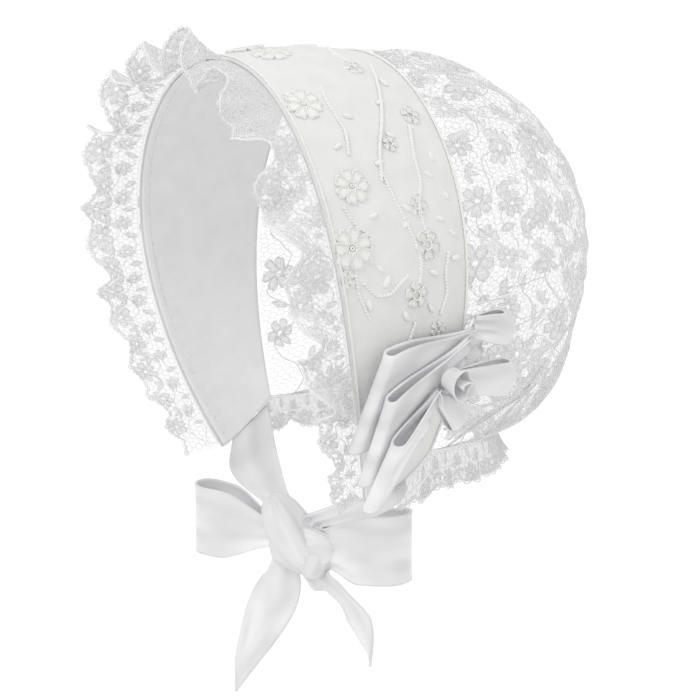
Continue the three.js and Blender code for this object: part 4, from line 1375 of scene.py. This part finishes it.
def ribbon_piece(name, node, places, across, widths, pinch, slanted=False, rounding=0.0):
    """Pinch is 1 in a row where the ribbon is gathered tight. Rounding pulls its corners back."""
    run = unit(np.gradient(places, axis=0))
    wide = unit(across)
    if not slanted:
        wide = unit(wide - run * (wide * run).sum(-1, keepdims=True))
    out = unit(np.cross(run, wide))
    share = np.linspace(-0.5, 0.5, RIBBON_ROWS)
    share = np.sign(share) * 0.5 * (np.abs(share) * 2) ** 0.8
    edge = ease((np.abs(share) - SELVEDGE_START) / SELVEDGE_RAMP)
    half = mix(RIBBON_HALF, SELVEDGE_HALF, edge)
    pleats = PLEAT_DEPTH * pinch[:, None] * np.sin(2 * math.pi * PLEATS * (share + 0.13))[None]
    corners = rounding * (1 - pinch[:, None]) * (2 * share[None]) ** 2
    backward = unit((places[0] - places).mean(0))
    middle = (places[:, None] + wide[:, None] * (share[None] * widths[:, None])[..., None]
              + out[:, None] * pleats[..., None] + backward * corners[..., None])
    outer = middle + out[:, None] * half[None, :, None]
    inner = middle - out[:, None] * half[None, :, None]
    length = running_length(places)
    flat = np.stack(np.broadcast_arrays(length[:, None], share[None] * widths[:, None]), -1)
    shell, faces = thin_wall(outer, inner)
    piece = make_piece(name, shell, faces, white_satin, "satin", [node],
                       np.tile(flat.reshape(-1, 2), (2, 1)))


def loop_outline(length, puff, leg_steps=16, fold_steps=14):
    """How far each row of a loop is from its pinch, and how far it stands off the middle."""
    leg_gap, radius = (CLOTH + GAP) / 2, puff / 2
    share = np.arange(leg_steps) / leg_steps
    leg = np.c_[share * (length - radius), mix(leg_gap, radius, ease(share))]
    turn = math.pi * (0.5 - np.arange(fold_steps + 1) / fold_steps)
    fold = np.c_[length - radius + radius * np.cos(turn), radius * np.sin(turn)]
    return np.vstack([leg, fold, leg[::-1] * [1, -1]])


# %% [markdown]
# The rosette is six loops of ribbon that lie over each other beside a rolled bud. Each loop has
# its pinch and its fold in a frame that lies on the side of the band: forward, up and out. Its
# pinched end is tucked a few millimetres further in, under its neighbours.

# %% Rosette loops
ROSETTE_Y, ROSETTE_Z = -6.0, -97.0
ROSETTE_LEAN = math.radians(11.0)
ROSETTE_LIFT = 3.6
ROSETTE_LOOPS = [  # pinch, fold, widths at both, leans at both in degrees, puff, rounding, tuck
    ((-5, 8, 0.6), (39.5, -5, 3.4), 14, 35, 6, 17, 5.0, 0.0, 3.0),
    ((4, 6, 4.6), (40.5, -16, 10.4), 13, 30, 10, 14, 5.0, 0.0, 3.0),
    ((27, -14, 13.2), (42, -25, 17.9), 18, 24, 18, 21, 6.0, 0.0, 10.0),
    ((-6.5, 15, 1.0), (-17, 15, 5.0), 8, 12, 0, -15, 4.5, 3.0, 3.0),
    ((8, 1, 9.5), (-16.5, -1, 9.0), 8, 12, 0, 0, 4.5, 3.5, 3.0),
    ((13, -4.5, 9.5), (5, -14.5, 10.5), 7, 9, 40, 40, 4.5, 2.5, 3.0),
]
rosette_up = np.array([math.sin(ROSETTE_LEAN), 0, math.cos(ROSETTE_LEAN)])
rosette_out = np.array([math.cos(ROSETTE_LEAN), 0, -math.sin(ROSETTE_LEAN)])
rosette_forward = np.array([0.0, -1.0, 0.0])
rosette_down = (ROSETTE_Z - band_corner[2]) / SEAM_ARCH["side"]
rosette_x = float(arch_place(SEAM_ARCH, np.array(1 - rosette_down * (1 - SHOULDER_SHARE)))[0])
rosette_middle = np.array([rosette_x, ROSETTE_Y, ROSETTE_Z]) + rosette_out * (CLOTH + ROSETTE_LIFT)


def rosette_place(forward, up, out):
    return rosette_middle + rosette_forward * forward + rosette_up * up + rosette_out * out


for number, loop in enumerate(ROSETTE_LOOPS, 1):
    pinch, fold, thin, broad, lean_in, lean_out, puff, rounding, tuck = loop
    first, last = rosette_place(*pinch), rosette_place(*fold)
    run = unit(last - first)
    first = first - run * tuck
    length = np.linalg.norm(last - first)
    stand = unit(rosette_out - run * (rosette_out @ run))
    rows = loop_outline(length, puff)
    share = rows[:, 0] / length
    lean = np.radians(mix(lean_in, lean_out, share))[:, None]
    ribbon_piece(
        f"rosette_ribbon_{number}", f"rosette_loop_{number}",
        first + rows[:, :1] * run + rows[:, 1:] * stand,
        rosette_up * np.cos(lean) - rosette_forward * np.sin(lean),
        mix(thin, broad, ease(share)), (1 - share) ** 2, slanted=True, rounding=rounding)

# %% [markdown]
# The bud is a ribbon crumpled round itself. One sheet follows a loose spiral from the middle out,
# and its free edge flares and waves more as it winds, so that it opens in a few uneven petals.

# %% Rosette bud
BUD_PLACE = (13.5, 3, 11.2)
BUD_RADIUS, BUD_HEIGHT, BUD_TURNS = 7.6, 9.0, 1.9
BUD_PETALS, BUD_HALF = 5.3, 0.22
BUD_COLUMNS, BUD_ROWS = 150, 11

wind = np.linspace(0, 1, BUD_COLUMNS)
climb = np.linspace(0, 1, BUD_ROWS)
wound, climbed = np.meshgrid(wind, climb, indexing="ij")
angle = 2 * math.pi * BUD_TURNS * wound
ripple = np.sin(2 * math.pi * BUD_PETALS * wound + 1.2 * np.sin(7 * wound))
wave = ripple * (0.3 + 0.7 * wound) * climbed ** 2
reach = 0.6 + (BUD_RADIUS - 2.6) * wound ** 0.9 + 1.2 * climbed ** 2 * (0.25 + wound) + 1.5 * wave
height = BUD_HEIGHT * (1.0 - 0.45 * wound ** 1.5) * climbed + 1.3 * wave * (1 - 0.4 * wound)
foot = rosette_place(*BUD_PLACE)
middle = (foot + rosette_forward * (reach * np.cos(angle))[..., None]
          + rosette_up * (reach * np.sin(angle))[..., None] + rosette_out * height[..., None])
by_wind, by_climb = np.gradient(middle, axis=0), np.gradient(middle, axis=1)
out = unit(np.cross(by_wind, by_climb))
places, faces = thin_wall(middle + out * BUD_HALF, middle - out * BUD_HALF)
run = running_length(middle[:, BUD_ROWS // 2])
flat = np.stack(np.broadcast_arrays(run[:, None], climb[None] * BUD_HEIGHT), -1).reshape(-1, 2)
rosette_rosebud = make_piece("rosette_rosebud", places, faces, white_satin, "satin",
                             ["rosette_bud"], np.tile(flat, (2, 1)))

# %% [markdown]
# The bow: two loops leave the knot sideways and fold back on themselves, and each stays 25 mm wide
# beyond its pinch. The ties run from the band's lower edge to the knot, and the tails hang free.
# Every ribbon starts a little way inside the knot, so that no cut end shows.

# %% Bow loops
RIBBON_WIDTH = 25.0
KNOT = np.array([-1.0, -24.0, -173.0])
KNOT_SIZE = np.array([9.0, 7.5, 11.0])
BOW_TURN = math.radians(28.0)
BOW_LOOPS = [  # name, side, reach, rise, puff, width at the pinch, pinch above knot, opening speed
    ("right", -1, 33.5, 3.5, 11.0, 9.0, 3.5, 1.5),
    ("left", 1, 32.5, 5.0, 12.0, 15.0, 1.0, 2.6),
]
TUCK = 6.0
bow_side = np.array([math.cos(BOW_TURN), math.sin(BOW_TURN), 0.0])
bow_depth = np.array([-math.sin(BOW_TURN), math.cos(BOW_TURN), 0.0])

for name, side, reach, rise, puff, pinch_width, above, opening in BOW_LOOPS:
    run = unit(bow_side * side * reach + np.array([0, 0, rise]))
    start = KNOT + [0, 0, above] + bow_side * side * (KNOT_SIZE[0] + GAP) - run * TUCK
    rows = loop_outline(reach + TUCK, puff)
    share = np.clip((rows[:, 0] - TUCK) / reach, 0, 1)
    ribbon_piece(
        f"bow_ribbon_{name}", f"bow_loop_{name}",
        start + rows[:, :1] * run + rows[:, 1:] * bow_depth,
        np.tile([0.0, 0.0, 1.0], (len(rows), 1)),
        mix(pinch_width, RIBBON_WIDTH, ease(share * opening)), (1 - share) ** 2)

# %% [markdown]
# A tie leaves the band flat along its edge and turns on its way to the knot. A tail is a short table
# of places, each with the way that the width runs there and how wide the ribbon is.

# %% Ties and tails
TIE_END_WIDTH = 9.0
TIE_BELOW = 0.3
TIE_ASIDE, TIE_UP = 0.45, 0.5
TIE_NEAR, TIE_FAR = 0.08, 0.42
TIE_ROWS, TAIL_ROWS = 44, 52
TIES = [  # name, side, share back, width, hang, sag, way out of the knot, way of the width, twist
    ("right", -1, 0.6, 20.0, 15.0, 9.0, (-0.4, 0.45, 0.8), (0.6, 0.75, 0.1), 1.5),
    ("left", 1, 0.32, 16.0, 3.0, 0.0, (0.35, 0.2, 0.9), (0.5, 0.35, -0.8), 1.6),
]
TAILS = {  # rows of place, way of the width, width. The first row lies under the knot.
    "right": [((-9, -28, -170.5), (0.75, 0.65, 0.1), 5),
              ((-7.5, -28, -180.5), (0.75, 0.65, 0.1), 10), ((-9, -29, -190), (0.9, 0.4, 0.12), 17),
              ((-17, -33, -206), (0.97, -0.05, 0.2), 24),
              ((-24.5, -38, -225), (0.88, -0.4, 0.2), 24)],
    "left": [((0, -23, -177), (0.7, 0.6, -0.3), 7),
             ((3, -22, -182), (0.7, 0.6, -0.3), 8), ((10, -18, -187), (0.9, 0.2, -0.3), 14),
             ((17, -13, -197), (0.92, 0.0, -0.25), 20), ((21, -11, -212), (0.85, -0.5, -0.2), 20)],
}


def knot_edge(direction):
    """Where a ribbon that runs the given way meets the knot."""
    run = unit(np.asarray(direction, float))
    parts = np.array([run @ bow_side, run @ bow_depth, run[2]]) / KNOT_SIZE
    return KNOT + run * (1 / np.linalg.norm(parts) + GAP)


for name, side, back, width, hang, sag, leave, across, twist in TIES:
    edge = unit(band_place(side, 1.0) - band_place(side, 0.0))
    top = band_place(side, back) - [0, 0, TIE_BELOW]
    end = knot_edge(leave) + [side * TIE_ASIDE, 0, TIE_UP]
    low = top[2] - hang
    line = smooth_line([
        top, [*mix(top, end, TIE_NEAR)[:2], low],
        [*mix(top, end, TIE_FAR)[:2], mix(low, end[2], TIE_FAR) - sag / 2], end], TIE_ROWS)
    leave = unit(np.array(leave))
    across = unit(np.array(across) - leave * (np.array(across) @ leave))
    line = np.vstack([line, end - leave * TUCK / 2, end - leave * TUCK])
    share = np.minimum(1, np.arange(len(line)) / (len(line) - 3))
    turned = np.minimum(1, share * twist)[:, None]
    ribbon_piece(
        f"tie_ribbon_{name}", f"tie_{name}", line, mix(edge, across, turned),
        mix(width, TIE_END_WIDTH, ease(share) ** 1.5), share ** 3, slanted=True)

for name, rows in TAILS.items():
    line = smooth_line([row[0] for row in rows], TAIL_ROWS)
    spot = np.linspace(0, len(rows) - 1, len(line))
    widths = np.interp(spot, range(len(rows)), [row[2] for row in rows])
    ways = np.stack([np.interp(spot, range(len(rows)), [row[1][k] for row in rows])
                     for k in range(3)], -1)
    ribbon_piece(f"tail_ribbon_{name}", f"bow_tail_{name}", line, ways, widths,
                 (1 - spot / (len(rows) - 1)) ** 3)

# %% [markdown]
# The knot has three forms. The gathered necks of the two loops meet in its middle. A band of ribbon
# is pulled slantwise over them, from the upper left to the lower right, and its folds run along it.
# Under its lower end the ribbon bulges out once more in a small round fold.

# %% Knot
KNOT_FORMS = [  # to the side, up, half length, half width, half depth, slant in degrees, folds
    (0.0, 0.0, 13.0, 9.5, 6.6, 90.0, 4),
    (-4.2, 4.6, 16.0, 8.2, 9.4, 34.0, 3),
    (5.2, -4.5, 6.2, 5.6, 7.6, -20.0, 2),
]
KNOT_COLUMNS, KNOT_ROWS = 72, 41
KNOT_CREASE, KNOT_WRINKLE = 0.05, 0.03
around = np.linspace(0, 2 * math.pi, KNOT_COLUMNS, endpoint=False)
heights = np.sin(np.linspace(-math.pi / 2, math.pi / 2, KNOT_ROWS))
turn, height = np.meshgrid(around, heights, indexing="ij")
parts, flats = [], []
for aside, up, half_length, half_width, half_depth, slant, folds in KNOT_FORMS:
    tilt = math.radians(slant)
    length_way = np.array([0, 0, math.cos(tilt)]) - bow_side * math.sin(tilt)
    width_way = np.array([0, 0, math.sin(tilt)]) + bow_side * math.cos(tilt)
    crease = (KNOT_CREASE * np.sin(2 * folds * turn + 0.9 * height)
              + KNOT_WRINKLE * np.sin(5 * folds * turn - 1.3 * height))
    ring = np.sqrt(np.clip(1 - height ** 2, 0, 1)) ** 0.75 * (0.96 + crease)
    middle = KNOT + bow_side * aside + np.array([0, 0, up])
    grid = (middle + width_way * (half_width * ring * np.cos(turn))[..., None]
            + bow_depth * (half_depth * ring * np.sin(turn))[..., None]
            + length_way * (half_length * height)[..., None])
    places = grid.reshape(-1, 3)
    faces = grid_faces(KNOT_COLUMNS, KNOT_ROWS, closed=True)
    parts.append((places, without_shrunk(places, faces)))
    flats.append(np.stack([half_length * height, half_width * turn], -1).reshape(-1, 2))
places, faces = joined(parts)
make_piece("bow_wrap", places, faces, white_satin, "satin", ["bow_knot"], np.concatenate(flats))

# %% [markdown]
# Last, the scene is brought up to date.

# %% Update
bpy.context.view_layer.update()
